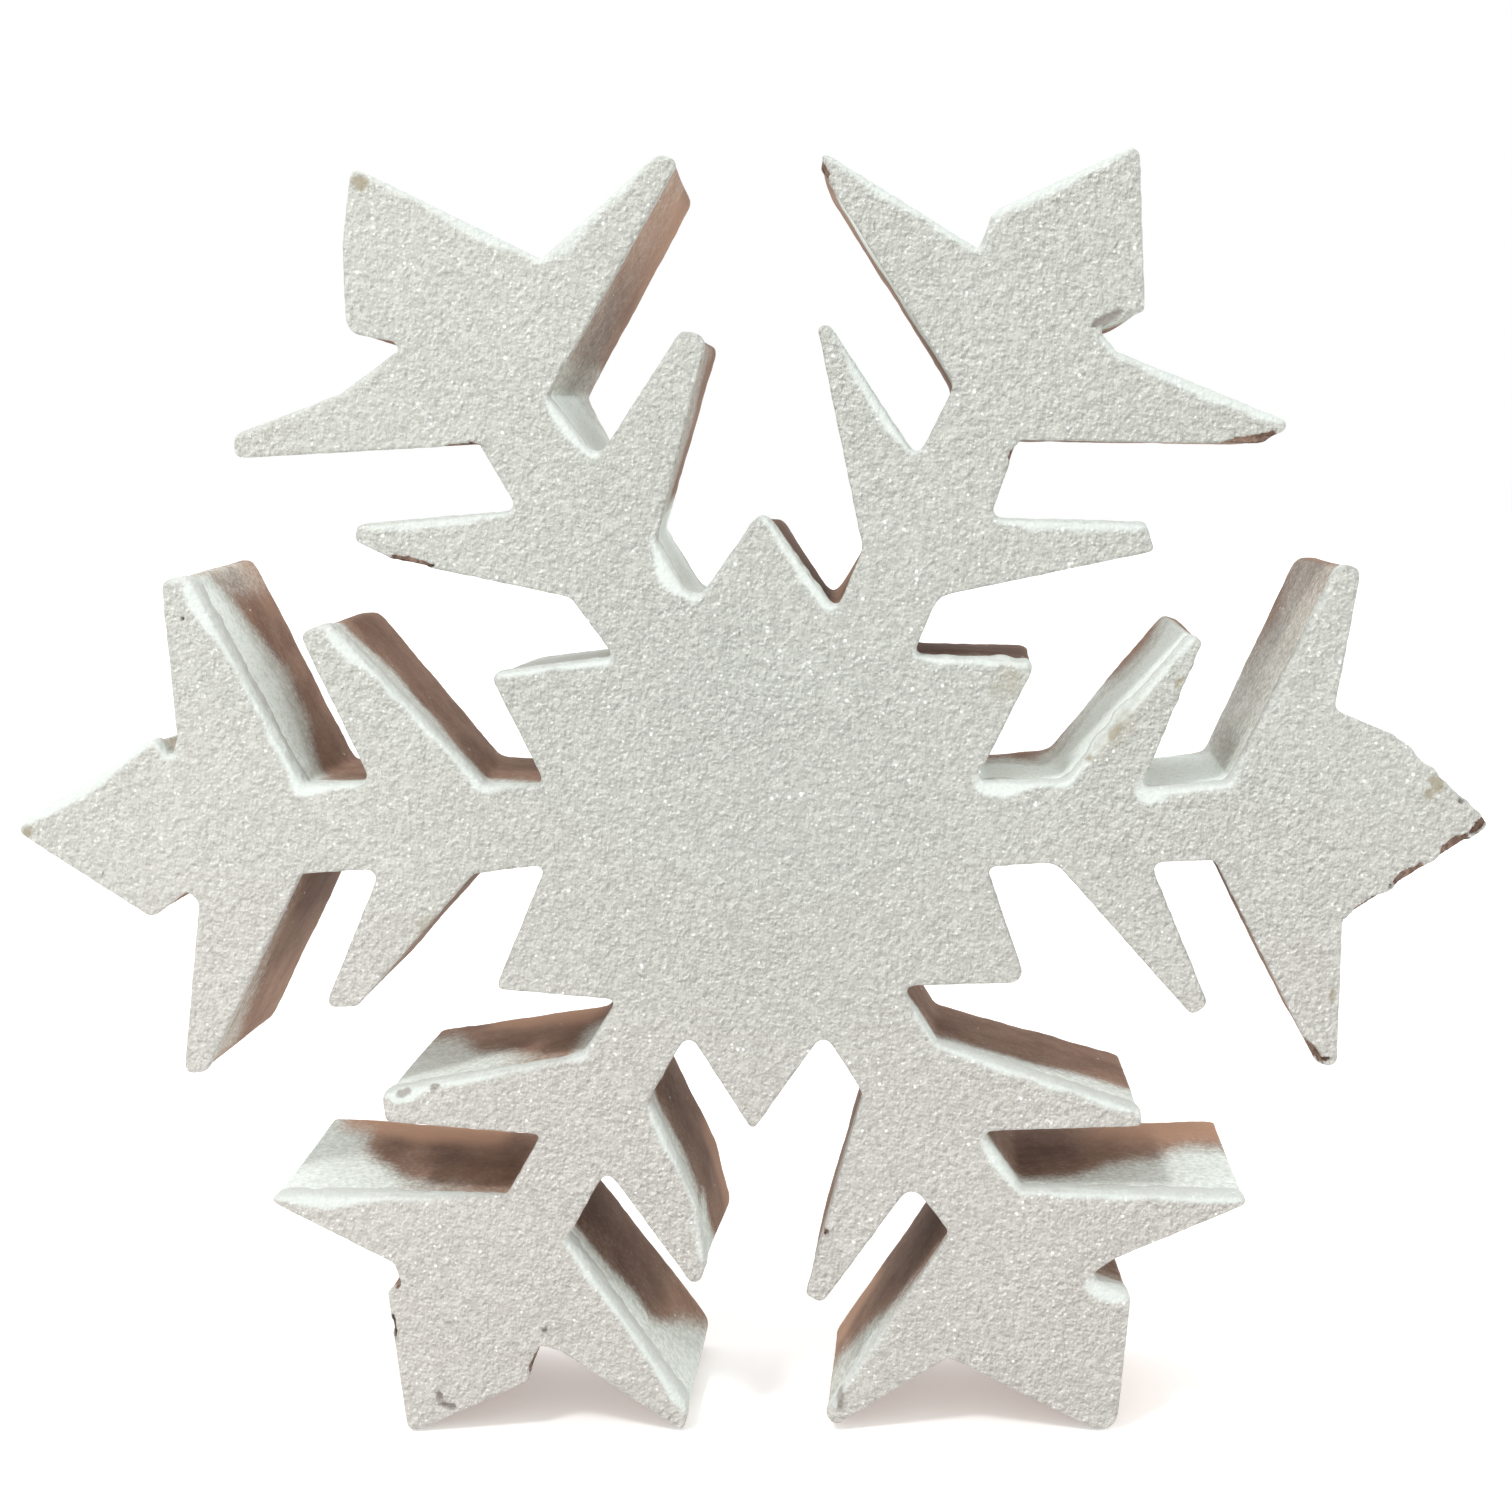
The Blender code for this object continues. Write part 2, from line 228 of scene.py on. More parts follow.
NEAR_STEPS = 3  # places in the search tree for each station of the outline


def tree_of(outline):
    """A search tree over an outline, with a few places between each station and the next."""
    ahead = np.roll(outline, -1, axis=0)
    tree = kdtree.KDTree(len(outline) * NEAR_STEPS)
    for step in range(NEAR_STEPS):
        places = outline + (ahead - outline) * (step / NEAR_STEPS)
        for station, (x, z) in enumerate(places):
            tree.insert((x, z, 0), station)
    tree.balance()
    return tree


front_tree = tree_of(front_line)


def edge_distance(points):
    """How far each point of the face lies from the front outline."""
    return np.array([front_tree.find((x, z, 0))[2] for x, z in points])


def nearest_station(points):
    """The outline station nearest to each point of the face."""
    return np.array([front_tree.find((x, z, 0))[1] for x, z in points], int)


def thinned(points, gap):
    """The points with near neighbours dropped."""
    _, keep = np.unique(np.round(points / gap), axis=0, return_index=True)
    return points[np.sort(keep)]


def smooth_rise(value, low, high):
    """0 below low, 1 above high, and an easy curve between."""
    share = np.clip((value - low) / (high - low), 0, 1)
    return share * share * (3 - 2 * share)


def between(ends, share):
    """The value this share of the way from the first of two ends to the second."""
    return ends[0] + (ends[1] - ends[0]) * share


# ------------------------------------------------------------------------------------- overspray

# A pass along one wall, from a to b in (x, z), with the snowflake on its left seen from the front. At
# each end: how deep it reaches over the wall, and how much it leaves there from 0 to 1.
Stroke = namedtuple("Stroke", "ax az bx bz deep_a deep_b amount_a amount_b")

# Drifts of pale overspray, which reach back from the front edge.
MIST = (
    # left arm
    Stroke(-38.5, 4.5, -43.0, 13.0, 7.0, 10.0, 1.25, 1.35),
    Stroke(-43.0, 13.0, -46.7, 21.7, 9.5, 5.0, 1.35, 1.3),
    Stroke(-46.0, 20.0, -48.5, 22.0, 20.0, 20.0, 0.4, 0.5),
    Stroke(-23.5, 4.5, -30.0, 12.0, 3.6, 4.5, 0.8, 1.1),
    Stroke(-30.0, 12.0, -35.5, 18.0, 4.5, 4.0, 1.1, 0.8),
    Stroke(-33.5, 4.0, -39.5, 4.0, 3.2, 3.2, 0.9, 1.1),
    Stroke(-19.0, 4.0, -24.5, 4.0, 3.0, 3.6, 0.5, 0.9),
    Stroke(-12.0, 14.0, -22.0, 14.0, 20.0, 20.0, 1.4, 1.5),
    Stroke(-45.0, 5.0, -52.0, 10.0, 7.0, 9.0, 0.8, 1.0),
    Stroke(-47.5, -20.0, -39.5, -4.0, 6.0, 2.5, 0.45, 0.1),
    Stroke(-34.0, -14.0, -25.0, -5.0, 6.0, 6.0, 0.4, 0.25),
    # lower left arm
    Stroke(-12.5, -16.5, -16.5, -19.0, 9.0, 10.0, 0.5, 1.0),
    Stroke(-18.5, -20.2, -26.0, -21.7, 2.2, 9.0, 0.15, 1.1),
    Stroke(-26.0, -21.7, -34.0, -23.3, 9.0, 16.0, 1.1, 1.25),
    Stroke(-24.5, -32.0, -33.0, -32.0, 3.4, 4.0, 0.1, 0.7),
    Stroke(-33.0, -32.0, -38.5, -31.7, 3.8, 12.0, 0.9, 1.15),
    Stroke(-38.5, -31.7, -43.0, -31.0, 15.0, 19.0, 1.15, 1.2),
    Stroke(-7.0, -52.0, -11.0, -46.0, 15.0, 5.5, 1.2, 1.1),
    Stroke(-11.0, -46.0, -17.5, -36.0, 4.5, 3.4, 1.2, 1.3),
    Stroke(-5.0, -39.5, -5.5, -34.0, 8.0, 5.0, 1.1, 0.8),
    Stroke(-6.0, -33.0, -10.0, -24.5, 3.2, 3.6, 0.6, 1.1),
    # lower right arm
    Stroke(8.3, -23.5, 3.5, -42.0, 8.0, 8.0, 0.6, 0.55),
    Stroke(13.0, -40.0, 9.5, -45.5, 3.0, 4.6, 0.2, 0.75),
    Stroke(9.5, -45.5, 5.4, -52.0, 6.0, 9.0, 0.8, 0.6),
    Stroke(42.0, -33.0, 35.0, -32.4, 12.5, 8.5, 1.1, 1.1),
    Stroke(35.0, -32.4, 27.0, -32.0, 8.0, 4.5, 1.1, 1.0),
    Stroke(28.0, -32.0, 22.0, -31.8, 4.5, 2.6, 1.0, 0.7),
    Stroke(22.5, -32.0, 18.5, -27.5, 3.0, 2.8, 0.7, 0.9),
    Stroke(32.5, -25.4, 16.0, -19.3, 5.5, 3.4, 1.2, 1.2),
    Stroke(17.0, -20.0, 13.0, -16.0, 3.0, 2.6, 0.8, 0.6),
    Stroke(31.5, -42.0, 26.0, -39.5, 2.0, 2.0, 0.4, 0.4),
    # right arm
    Stroke(48.5, 21.5, 39.0, 2.0, 20.0, 20.0, 0.35, 0.8),
    Stroke(40.5, 3.0, 32.5, 3.0, 20.0, 20.0, 1.6, 1.6),
    Stroke(36.5, 16.0, 25.5, 3.0, 13.0, 17.0, 1.4, 1.4),
    Stroke(27.0, 3.0, 18.5, 3.0, 14.0, 12.0, 1.5, 1.6),
    # upper right arm
    Stroke(27.5, 40.5, 33.5, 41.5, 9.0, 9.0, 1.2, 0.5),
    Stroke(23.0, 31.0, 41.0, 31.0, 6.0, 6.0, 0.8, 0.4),
    Stroke(8.5, 51.5, 17.5, 37.0, 8.0, 9.0, 1.35, 0.9),
    # upper left arm
    Stroke(-4.5, 18.5, -8.5, 25.0, 20.0, 20.0, 1.6, 1.6),
    Stroke(-7.0, 25.0, -3.5, 40.0, 9.0, 12.0, 0.7, 0.45),
    Stroke(-12.0, 31.0, -16.5, 38.0, 20.0, 20.0, 1.5, 1.4),
    Stroke(-15.5, 37.0, -9.0, 47.5, 15.0, 13.0, 0.45, 0.2),
    Stroke(-9.0, 47.5, -5.0, 54.5, 12.0, 12.0, 0.2, 0.2),
    # upper edges, whose walls face away
    Stroke(-12.0, 47.5, -31.0, 56.0, 6.0, 6.0, 0.7, 0.5),
    Stroke(-4.5, 55.0, -14.0, 46.0, 6.0, 6.0, 0.5, 0.7),
    Stroke(-24.0, 34.0, -40.0, 32.0, 4.0, 4.0, 0.5, 0.4),
    Stroke(-14.0, 25.5, -33.0, 24.0, 4.0, 4.0, 0.8, 0.6),
    Stroke(-52.0, 8.5, -63.5, 1.0, 4.0, 4.0, 0.7, 0.4),
    Stroke(34.0, 54.0, 16.0, 48.0, 6.0, 6.0, 0.6, 0.8),
    Stroke(16.0, 46.0, 7.0, 54.5, 6.0, 6.0, 0.8, 0.6),
    Stroke(45.0, 31.5, 28.0, 39.0, 6.0, 6.0, 0.9, 0.6),
    Stroke(33.0, 23.0, 20.0, 23.5, 6.0, 6.0, 0.8, 0.8),
    Stroke(13.5, 29.0, 7.0, 40.0, 6.0, 6.0, 1.0, 0.6),
)

# Edges where the coat beaded up but left the wall below it bare.
BEADED = (
    Stroke(8.5, 16.0, 1.5, 27.0, 1.0, 1.0, 1.2, 1.2),
    Stroke(25.0, 13.0, 12.0, 14.0, 1.0, 1.0, 1.2, 1.2),
    Stroke(21.5, -31.5, 18.5, -27.5, 1.0, 1.0, 1.0, 1.0),
    Stroke(31.5, -42.0, 26.0, -39.5, 1.0, 1.0, 1.0, 1.0),
    Stroke(-48.0, 7.5, -63.0, 1.0, 1.0, 1.0, 1.0, 1.0),
)

# Painted shade on the wood, mostly in the roots between arms, which reaches forward from the back edge.
PAINTED_SHADE_STROKES = (
    Stroke(-11.0, -46.0, -17.0, -36.5, 13.0, 13.0, 0.5, 0.7),
    Stroke(-5.5, -35.0, -9.5, -25.0, 14.0, 14.0, 0.35, 0.6),
    Stroke(15.0, -37.0, 9.5, -46.0, 17.0, 15.0, 0.7, 0.3),
    Stroke(27.0, -32.0, 22.5, -31.8, 14.0, 14.0, 0.3, 0.4),
    Stroke(30.5, -41.5, 28.5, -39.5, 17.0, 17.0, 0.5, 0.5),
    Stroke(-44.0, -14.0, -39.5, -4.0, 18.0, 18.0, 0.2, 0.4),
    Stroke(8.5, 17.0, 2.5, 26.5, 18.0, 18.0, 1.0, 0.3),
    Stroke(24.0, 13.0, 12.5, 14.0, 18.0, 18.0, 0.3, 0.6),
    Stroke(48.5, 21.5, 39.0, 2.0, 20.0, 20.0, 0.3, 0.3),
    Stroke(-29.0, -32.0, -36.0, -31.9, 14.0, 14.0, 0.3, 0.5),
)

# Painted warm light on the wood close to the back edge: lit patches of tan.
PAINTED_LIGHT_STROKES = (
    Stroke(-16.5, -19.5, -27.0, -21.9, 5.0, 4.0, 1.1, 0.7),
    Stroke(-26.0, -32.0, -42.0, -31.0, 4.5, 4.0, 1.1, 0.8),
    Stroke(9.5, -46.0, 5.5, -51.5, 4.5, 4.5, 0.7, 0.7),
    Stroke(-4.8, -38.0, -6.5, -31.0, 5.0, 4.0, 0.6, 0.5),
    Stroke(-46.0, 20.0, -47.0, 22.0, 6.0, 6.0, 0.5, 0.6),
    Stroke(41.0, -33.0, 30.0, -32.0, 6.0, 4.0, 1.1, 0.5),
    Stroke(-10.0, 46.0, -5.5, 53.5, 18.0, 18.0, 0.2, 0.5),
)

# How far a stroke reaches to each side of its line, and how gently its sides, its two ends and the turn of
# the wall away from it fade it out.
STROKE_WIDTH = 3.0
SIDE_FADE = 1.2
END_FADE = (-1.5, 0.5)
FACING_FADE = (0.25, 0.65)
DEPTH_FADE = (-1.4, -0.6)
STROKE_SOFTENING = 4

# The back limit of a stroke wanders by this share, in waves about this long.
WANDER_SHARE = 0.35
WANDER_SIZE = 4.5
WANDER_SEED = 31


def stroke_reach(stroke):
    """How far along a stroke each station lies, from 0 to 1, and how much of the stroke it gets."""
    start = np.array([stroke.ax, stroke.az])
    along = np.array([stroke.bx, stroke.bz]) - start
    length = np.hypot(*along)
    forward = along / length
    x, z = (front_line - start).T
    ahead = x * forward[0] + z * forward[1]
    aside = np.abs(x * forward[1] - z * forward[0])
    out = outward(front_line)
    heading = out[:, 0] * forward[1] - out[:, 1] * forward[0]
    share = smooth_rise(heading, *FACING_FADE) * smooth_rise(STROKE_WIDTH - aside, 0, SIDE_FADE)
    share *= smooth_rise(ahead, *END_FADE) * smooth_rise(length - ahead, *END_FADE)
    return np.clip(ahead / length, 0, 1), share


def stroked(strokes, depth):
    """What the strokes leave at every station this far from the edge that they start at."""
    total = np.zeros(STATIONS)
    wander = 1 + WANDER_SHARE * grain(at_depth(front_line, 0), WANDER_SIZE, WANDER_SEED)
    for stroke in strokes:
        along, share = stroke_reach(stroke)
        deep = between((stroke.deep_a, stroke.deep_b), along) * wander
        amount = between((stroke.amount_a, stroke.amount_b), along)
        total = np.maximum(total, share * amount * smooth_rise(-depth / deep, *DEPTH_FADE))
    return eased(total, STROKE_SOFTENING)


# How much a wall counts as facing up for each part of its normal that points up and to the right.
UP_WEIGHT = 0.8
RIGHT_WEIGHT = 0.22
FACING_UP_RISE = (0.0, 0.45)
FACING_UP_WANDER = 0.25
FACING_UP_WANDER_SIZE = 4.0
FACING_UP_SEED = 12
NORMAL_SOFTENING = 6
FACING_UP_SOFTENING = 12


def facing_up():
    """1 at stations whose wall faces upwards, 0 where it faces down or sideways."""
    x, z = outward(eased(front_line, NORMAL_SOFTENING)).T
    edge = at_depth(front_line, BOARD_FRONT)
    wander = grain(edge, FACING_UP_WANDER_SIZE, FACING_UP_SEED) * FACING_UP_WANDER
    facing = smooth_rise(UP_WEIGHT * z + RIGHT_WEIGHT * x + wander, *FACING_UP_RISE)
    return eased(facing, FACING_UP_SOFTENING)


# Overspray just behind the front edge, and how thickly the coat beads up along the edge above it.
BEAD_WITHOUT_MIST = 0.35
JUST_BEHIND_EDGE = 1.0
front_mist = np.clip(np.maximum(stroked(MIST, JUST_BEHIND_EDGE), stroked(BEADED, 0.0)), 0, 1)
bead = facing_up() * between((BEAD_WITHOUT_MIST, 1), front_mist)


# ------------------------------------------------------------------------------------------ damage

# A ragged patch on the coat: its middle (x, z), length, width, and slant in degrees.
Patch = namedtuple("Patch", "x z length width slant")

# Edges where the coat has broken away and the brown board shows.
BROKEN = (
    Patch(54.4, -5.4, 4.4, 1.5, 34),
    Patch(57.8, -3.0, 3.4, 1.3, 40),
    Patch(50.8, -7.8, 4.0, 0.8, 32),
    Patch(-23.6, 32.1, 4.2, 1.0, 3),
    Patch(-28.2, 22.9, 3.6, 0.7, -14),
    Patch(6.9, 53.0, 4.4, 1.3, 105),
    Patch(41.0, 30.7, 5.6, 1.3, 12),
    Patch(22.2, 30.4, 1.8, 1.0, 50),
    Patch(60.0, -1.1, 2.4, 0.8, 45),
    Patch(57.2, -3.6, 2.6, 0.6, 40),
    Patch(46.4, -20.0, 3.0, 0.6, 125),
    Patch(47.3, -20.9, 1.4, 0.5, 10),
    Patch(5.1, -35.6, 0.7, 0.5, 60),
    Patch(-32.7, -40.2, 0.8, 0.9, 40),
    Patch(-33.0, -43.9, 2.0, 0.4, 95),
    Patch(-20.9, -47.5, 2.6, 0.5, 70),
)

# Shallow pits and cracks in the coat.
PITS = (
    Patch(29.7, 40.9, 3.0, 0.9, 25),
    Patch(6.0, -50.6, 2.8, 0.6, 85),
    Patch(-31.2, -22.9, 1.6, 0.7, 15),
    Patch(-28.4, -22.4, 1.0, 0.5, 10),
    Patch(-29.3, -50.4, 0.7, 1.1, 10),
    Patch(-28.5, -51.2, 1.9, 0.6, -14),
    Patch(-19.7, -44.3, 0.7, 0.6, 0),
    Patch(-48.0, 18.6, 0.35, 0.35, 0),
    Patch(58.3, 0.9, 0.6, 0.4, 120),
    Patch(-9.0, -46.8, 0.5, 0.4, 0),
)

# Tan stains where bare filler shows through: those with crisp edges, then the soft ones.
CRISP_STAINS = (
    Patch(-30.9, 53.9, 2.0, 1.6, 0),
    Patch(56.4, 2.3, 1.9, 1.5, 140),
    Patch(55.8, 1.5, 1.2, 1.3, 20),
    Patch(48.0, -15.4, 1.4, 0.7, 85),
    Patch(-62.7, 0.6, 1.5, 1.3, 0),
)
SOFT_STAINS = (
    Patch(30.1, 7.2, 3.0, 0.9, 52),
    Patch(28.0, 5.0, 1.2, 0.6, 35),
    Patch(35.4, 11.2, 1.6, 0.8, 55),
)
STAINS = CRISP_STAINS + SOFT_STAINS

# Wide faint stains.
TINTS = (
    Patch(21.3, 11.4, 5.0, 3.6, 60),
    Patch(30.2, 7.6, 8.5, 3.6, 50),
    Patch(-28.5, -8.5, 5.0, 2.4, 60),
)
TINT_SHARE = 0.5

# The edges of patches are ragged by this share of their size, in teeth about this long.
PATCH_RAGGEDNESS = 0.35
PATCH_TOOTH = 0.55

# A round place on the coat: its middle (x, z), its reach, and how much it adds there.
Clump = namedtuple("Clump", "x z reach extra")

# Clumps where the coat stands thicker.
CLUMPS = (
    Clump(20.7, 14.1, 1.6, 0.35),
    Clump(23.2, 13.9, 1.0, 0.2),
    Clump(48.9, 6.0, 0.7, 0.2),
    Clump(33.0, 15.5, 2.0, 0.25),
    Clump(30.6, 8.8, 2.4, 0.4),
    Clump(29.0, 6.4, 1.8, 0.3),
    Clump(54.0, 5.2, 1.5, 0.2),
    Clump(58.0, 2.8, 1.2, 0.2),
)

# Places where the pale rim runs further onto the face, by the extra width.
DRIPS = (
    Clump(32.8, 2.2, 2.4, 1.5),
    Clump(49.0, 6.2, 1.5, 1.2),
    Clump(34.6, 15.0, 2.6, 1.0),
    Clump(20.0, 2.8, 5.0, 0.8),
    Clump(28.5, -40.5, 3.0, 0.7),
    Clump(-7.0, 21.0, 3.0, 1.0),
    Clump(-14.5, 34.0, 2.6, 0.7),
    Clump(-13.5, 47.3, 3.0, 1.0),
    Clump(-38.2, 4.2, 2.4, 0.9),
    Clump(-46.5, 19.5, 3.5, 0.9),
    Clump(-34.5, 15.8, 3.0, 0.7),
    Clump(-23.0, 3.8, 2.0, 0.5),
    Clump(-31.5, -22.6, 3.0, 0.9),
    Clump(-38.0, -32.6, 5.0, 0.5),
    Clump(-7.5, -49.0, 3.5, 0.8),
    Clump(29.0, -40.8, 2.4, 1.0),
    Clump(19.5, -29.5, 2.0, 0.4),
    Clump(-21.0, 51.0, 7.0, 0.55),
    Clump(-9.5, 50.0, 5.0, 0.4),
    Clump(-26.0, 24.8, 8.0, 0.45),
    Clump(-32.0, 33.5, 8.0, 0.4),
    Clump(12.0, 50.0, 7.0, 0.2),
    Clump(24.0, 50.5, 8.0, 0.25),
    Clump(38.0, 34.5, 8.0, 0.45),
    Clump(27.0, 23.5, 8.0, 0.35),
    Clump(10.5, 34.0, 7.0, 0.25),
    Clump(-57.0, 4.5, 6.0, 0.5),
    Clump(5.0, 21.0, 5.0, 0.3),
)

# Places where the coat's edge is crumbled, by how far it wanders.
RAGGED = (
    Clump(56.5, 2.8, 6.0, 0.30),
    Clump(20.0, 14.0, 5.0, 0.3),
    Clump(5.0, 22.0, 4.0, 0.25),
    Clump(32.0, 12.0, 8.0, 0.2),
)


def added(flat, clumps):
    """How much the clumps add at each point of the face or its edge."""
    total = np.zeros(len(flat))
    for clump in clumps:
        away = np.hypot(flat[:, 0] - clump.x, flat[:, 1] - clump.z) / clump.reach
        total += clump.extra * smooth_rise(1 - away, 0, 1)
    return total


def patched(flat, patches, edge, seed):
    """How far each point of the face lies in the ragged patches, from 0 to 1."""
    found = np.zeros(len(flat))
    ragged = grain(at_depth(flat, BOARD_FRONT), PATCH_TOOTH, seed) * PATCH_RAGGEDNESS
    for patch in patches:
        slant = math.radians(patch.slant)
        x, z = (flat - (patch.x, patch.z)).T
        along = (x * math.cos(slant) + z * math.sin(slant)) / (patch.length / 2)
        aside = (z * math.cos(slant) - x * math.sin(slant)) / (patch.width / 2)
        found = np.maximum(found, smooth_rise(1 + ragged - np.hypot(along, aside), 0, edge))
    return found


# --------------------------------------------------------------------------------------- materials

DIMMEST_GLINT = 0.3
GLINT_CORE = 0.1  # the share of a glint's reach that is at full brightness


class Nodes:
    """Short calls for building a material's node tree."""

    def __init__(self, name):
        self.material = bpy.data.materials.new(name)
        self.material.use_nodes = True
        self.tree = self.material.node_tree
        self.shader = self.tree.nodes["Principled BSDF"]
        self.place = self.tree.nodes.new("ShaderNodeTexCoord").outputs["Object"]

    def wire(self, value, socket):
        """Sets a socket to a value, or links another node's output to it."""
        if isinstance(value, bpy.types.NodeSocket):
            self.tree.links.new(value, socket)
        else:
            socket.default_value = value

    def add(self, kind, **settings):
        node = self.tree.nodes.new("ShaderNode" + kind)
        for key, value in settings.items():
            setattr(node, key, value)
        return node

    def math(self, operation, a, b):
        node = self.add("Math", operation=operation)
        for socket, value in zip(node.inputs, (a, b)):
            self.wire(value, socket)
        return node.outputs[0]

    def around(self, value, size):
        """Noise from 0 to 1, turned into a push of up to half this size either way."""
        return self.math("MULTIPLY", self.math("SUBTRACT", value, 0.5), size)

    def noise(self, size, detail=2.0, roughness=0.5, seed=0.0, shift=None):
        """Noise from 0 to 1 with lumps about this size, read at the place itself or a shift away."""
        node = self.add("TexNoise", noise_dimensions="4D")
        self.wire(self.moved(shift) if shift else self.place, node.inputs["Vector"])
        self.wire(1 / (size * MM), node.inputs["Scale"])
        self.wire(detail, node.inputs["Detail"])
        self.wire(roughness, node.inputs["Roughness"])
        self.wire(seed, node.inputs["W"])
        return node.outputs["Fac"]

    def moved(self, shift):
        """The place, moved by a shift in millimetres."""
        node = self.add("VectorMath", operation="ADD")
        self.wire(self.place, node.inputs[0])
        self.wire([length * MM for length in shift], node.inputs[1])
        return node.outputs[0]

    def cells(self, size, seed):
        """Cells of this size: the distance from a cell's middle, and two random numbers for each cell."""
        node = self.add("TexVoronoi", voronoi_dimensions="4D")
        self.wire(self.place, node.inputs["Vector"])
        self.wire(1 / (size * MM), node.inputs["Scale"])
        self.wire(seed, node.inputs["W"])
        parts = self.add("SeparateColor")
        self.wire(node.outputs["Color"], parts.inputs[0])
        return node.outputs["Distance"], parts.outputs[0], parts.outputs[1]

    def glints(self, size, rarity, reach, seed):
        """Soft round dots in a few of the cells, from 0 to 1."""
        distance, first, second = self.cells(size, seed)
        chosen = self.math("GREATER_THAN", first, rarity)
        bright = self.math("MULTIPLY", chosen, self.ramp(second, 0.0, 1.0, DIMMEST_GLINT, 1.0))
        return self.math("MULTIPLY", bright, self.ramp(distance, reach, reach * GLINT_CORE))

    def ramp(self, value, low, high, to_low=0.0, to_high=1.0):
        """A smooth rise of value from low to high."""
        node = self.add("MapRange", interpolation_type="SMOOTHSTEP")
        for socket, given in zip(node.inputs, (value, low, high, to_low, to_high)):
            self.wire(given, socket)
        return node.outputs[0]

    def mix(self, share, a, b):
        """This share of colour b over colour a."""
        node = self.add("Mix", data_type="RGBA")
        sockets = [s for s in node.inputs if s.type == "RGBA"]
        self.wire(share, node.inputs[0])
        for socket, value in zip(sockets, (a, b)):
            self.wire(value, socket)
        return [s for s in node.outputs if s.type == "RGBA"][0]

    def mark(self, name):
        """The value that the mesh carries under this name."""
        return self.add("Attribute", attribute_name=name).outputs["Fac"]

    def bump(self, height, distance, strength=1.0, below=None):
        """A bump of this height in millimetres, laid over the one below."""
        node = self.add("Bump")
        self.wire(strength, node.inputs["Strength"])
        self.wire(distance * MM, node.inputs["Distance"])
        self.wire(height, node.inputs["Height"])
        if below is not None:
            self.wire(below, node.inputs["Normal"])
        return node.outputs["Normal"]

    def glow(self, colour, strength):
        self.wire(colour, self.shader.inputs["Emission Color"])
        self.wire(strength, self.shader.inputs["Emission Strength"])

    def finish(self, colour, roughness, normal):
        self.wire(colour, self.shader.inputs["Base Color"])
        self.wire(roughness, self.shader.inputs["Roughness"])
        self.wire(normal, self.shader.inputs["Normal"])
        return self.material


def rgb(*levels):
    """A colour from the everyday 0 to 255 scale, turned into linear light by the sRGB curve."""
    return (*(((level / 255 + 0.055) / 1.055) ** 2.4 for level in levels), 1.0)


# ----------------------------------------------------------------------------------- glitter paint

# The paint's grains, from fine to coarse, and its wide drifts, with sizes in millimetres.
FINE_GRAIN = {"size": 0.29, "detail": 3, "roughness": 0.62}
COARSE_GRAIN = {"size": 0.52, "detail": 2, "seed": 4}
WIDE_DRIFT = {"size": 16, "detail": 1, "seed": 9}
CELL_SIZE = 0.42

# A step toward the light, across the face: a grain's side facing this way gets a painted highlight.
UPHILL = (-0.07, 0.0, 0.12)

# Painted light and shade: the paint's shaded and lit tones, given to each grain by the side it turns to the
# light.
COOL_SHADE = rgb(145, 146, 140)
COOL_LIT = rgb(188, 190, 183)
WARM_SHADE = rgb(150, 146, 141)
WARM_LIT = rgb(193, 189, 183)
DRIFT_GREY = rgb(186, 187, 180)
MIDDLE_GREY = rgb(138, 144, 141)
LEFT_CREAM = rgb(224, 218, 210)
PAINTED_HIGHLIGHT_WHITE = rgb(226, 228, 222)
PALE_GRAIN = rgb(214, 215, 208)
DARK_GRAIN = rgb(140, 140, 134)
RIM_SHADE = rgb(194, 202, 197)
RIM_LIT = rgb(220, 227, 222)
STAIN_TAN = rgb(146, 137, 115)
PIT_BROWN = rgb(128, 120, 110)
BARE_DARK = rgb(104, 80, 68)
BARE_LIGHT = rgb(146, 120, 104)
WHITE = rgb(255, 255, 255)

MIDDLE_SHARE = 0.16
LEFT_SHARE = 0.14
RIM_SHARE = 0.9
DIM_GLINT_SHARE = 0.6
PIT_SHARE = 0.7
PAINTED_GLINT_GLOW = 0.2
PAINT_ROUGHNESS = 0.6
GLINT_ROUGHNESS = 0.2


def paint_grey(n, fine, lumps, drift):
    """Painted light and shade on the paint's grains, cool high up and warm low down, paler to the left."""
    # Painted light and shade: each grain is painted lighter on its side toward the light, darker on the far
    # side.
    fine_rise = n.math("SUBTRACT", fine, n.noise(**FINE_GRAIN, shift=UPHILL))
    coarse_rise = n.math("SUBTRACT", lumps, n.noise(**COARSE_GRAIN, shift=UPHILL))
    painted_light_catch = n.math("ADD", fine_rise, coarse_rise)
    light = n.ramp(painted_light_catch, -0.3, 0.25)
    grey = n.mix(n.mark("warm"), n.mix(light, COOL_SHADE, COOL_LIT), n.mix(light, WARM_SHADE, WARM_LIT))
    grey = n.mix(n.ramp(drift, 0.4, 0.65, 0.0, 0.2), grey, DRIFT_GREY)
    grey = n.mix(n.math("MULTIPLY", n.mark("middle"), MIDDLE_SHARE), grey, MIDDLE_GREY)
    grey = n.mix(n.math("MULTIPLY", n.mark("left"), LEFT_SHARE), grey, LEFT_CREAM)
    # Painted highlights: white flecks where a grain's side faces the light most.
    grey = n.mix(n.ramp(painted_light_catch, 0.10, 0.30, 0.0, 0.7), grey, PAINTED_HIGHLIGHT_WHITE)
    _, _, tone = n.cells(CELL_SIZE, seed=12)
    grey = n.mix(n.ramp(tone, 0.5, 1.0, 0.0, 0.26), grey, PALE_GRAIN)
    return n.mix(n.ramp(tone, 0.4, 0.0, 0.0, 0.24), grey, DARK_GRAIN)


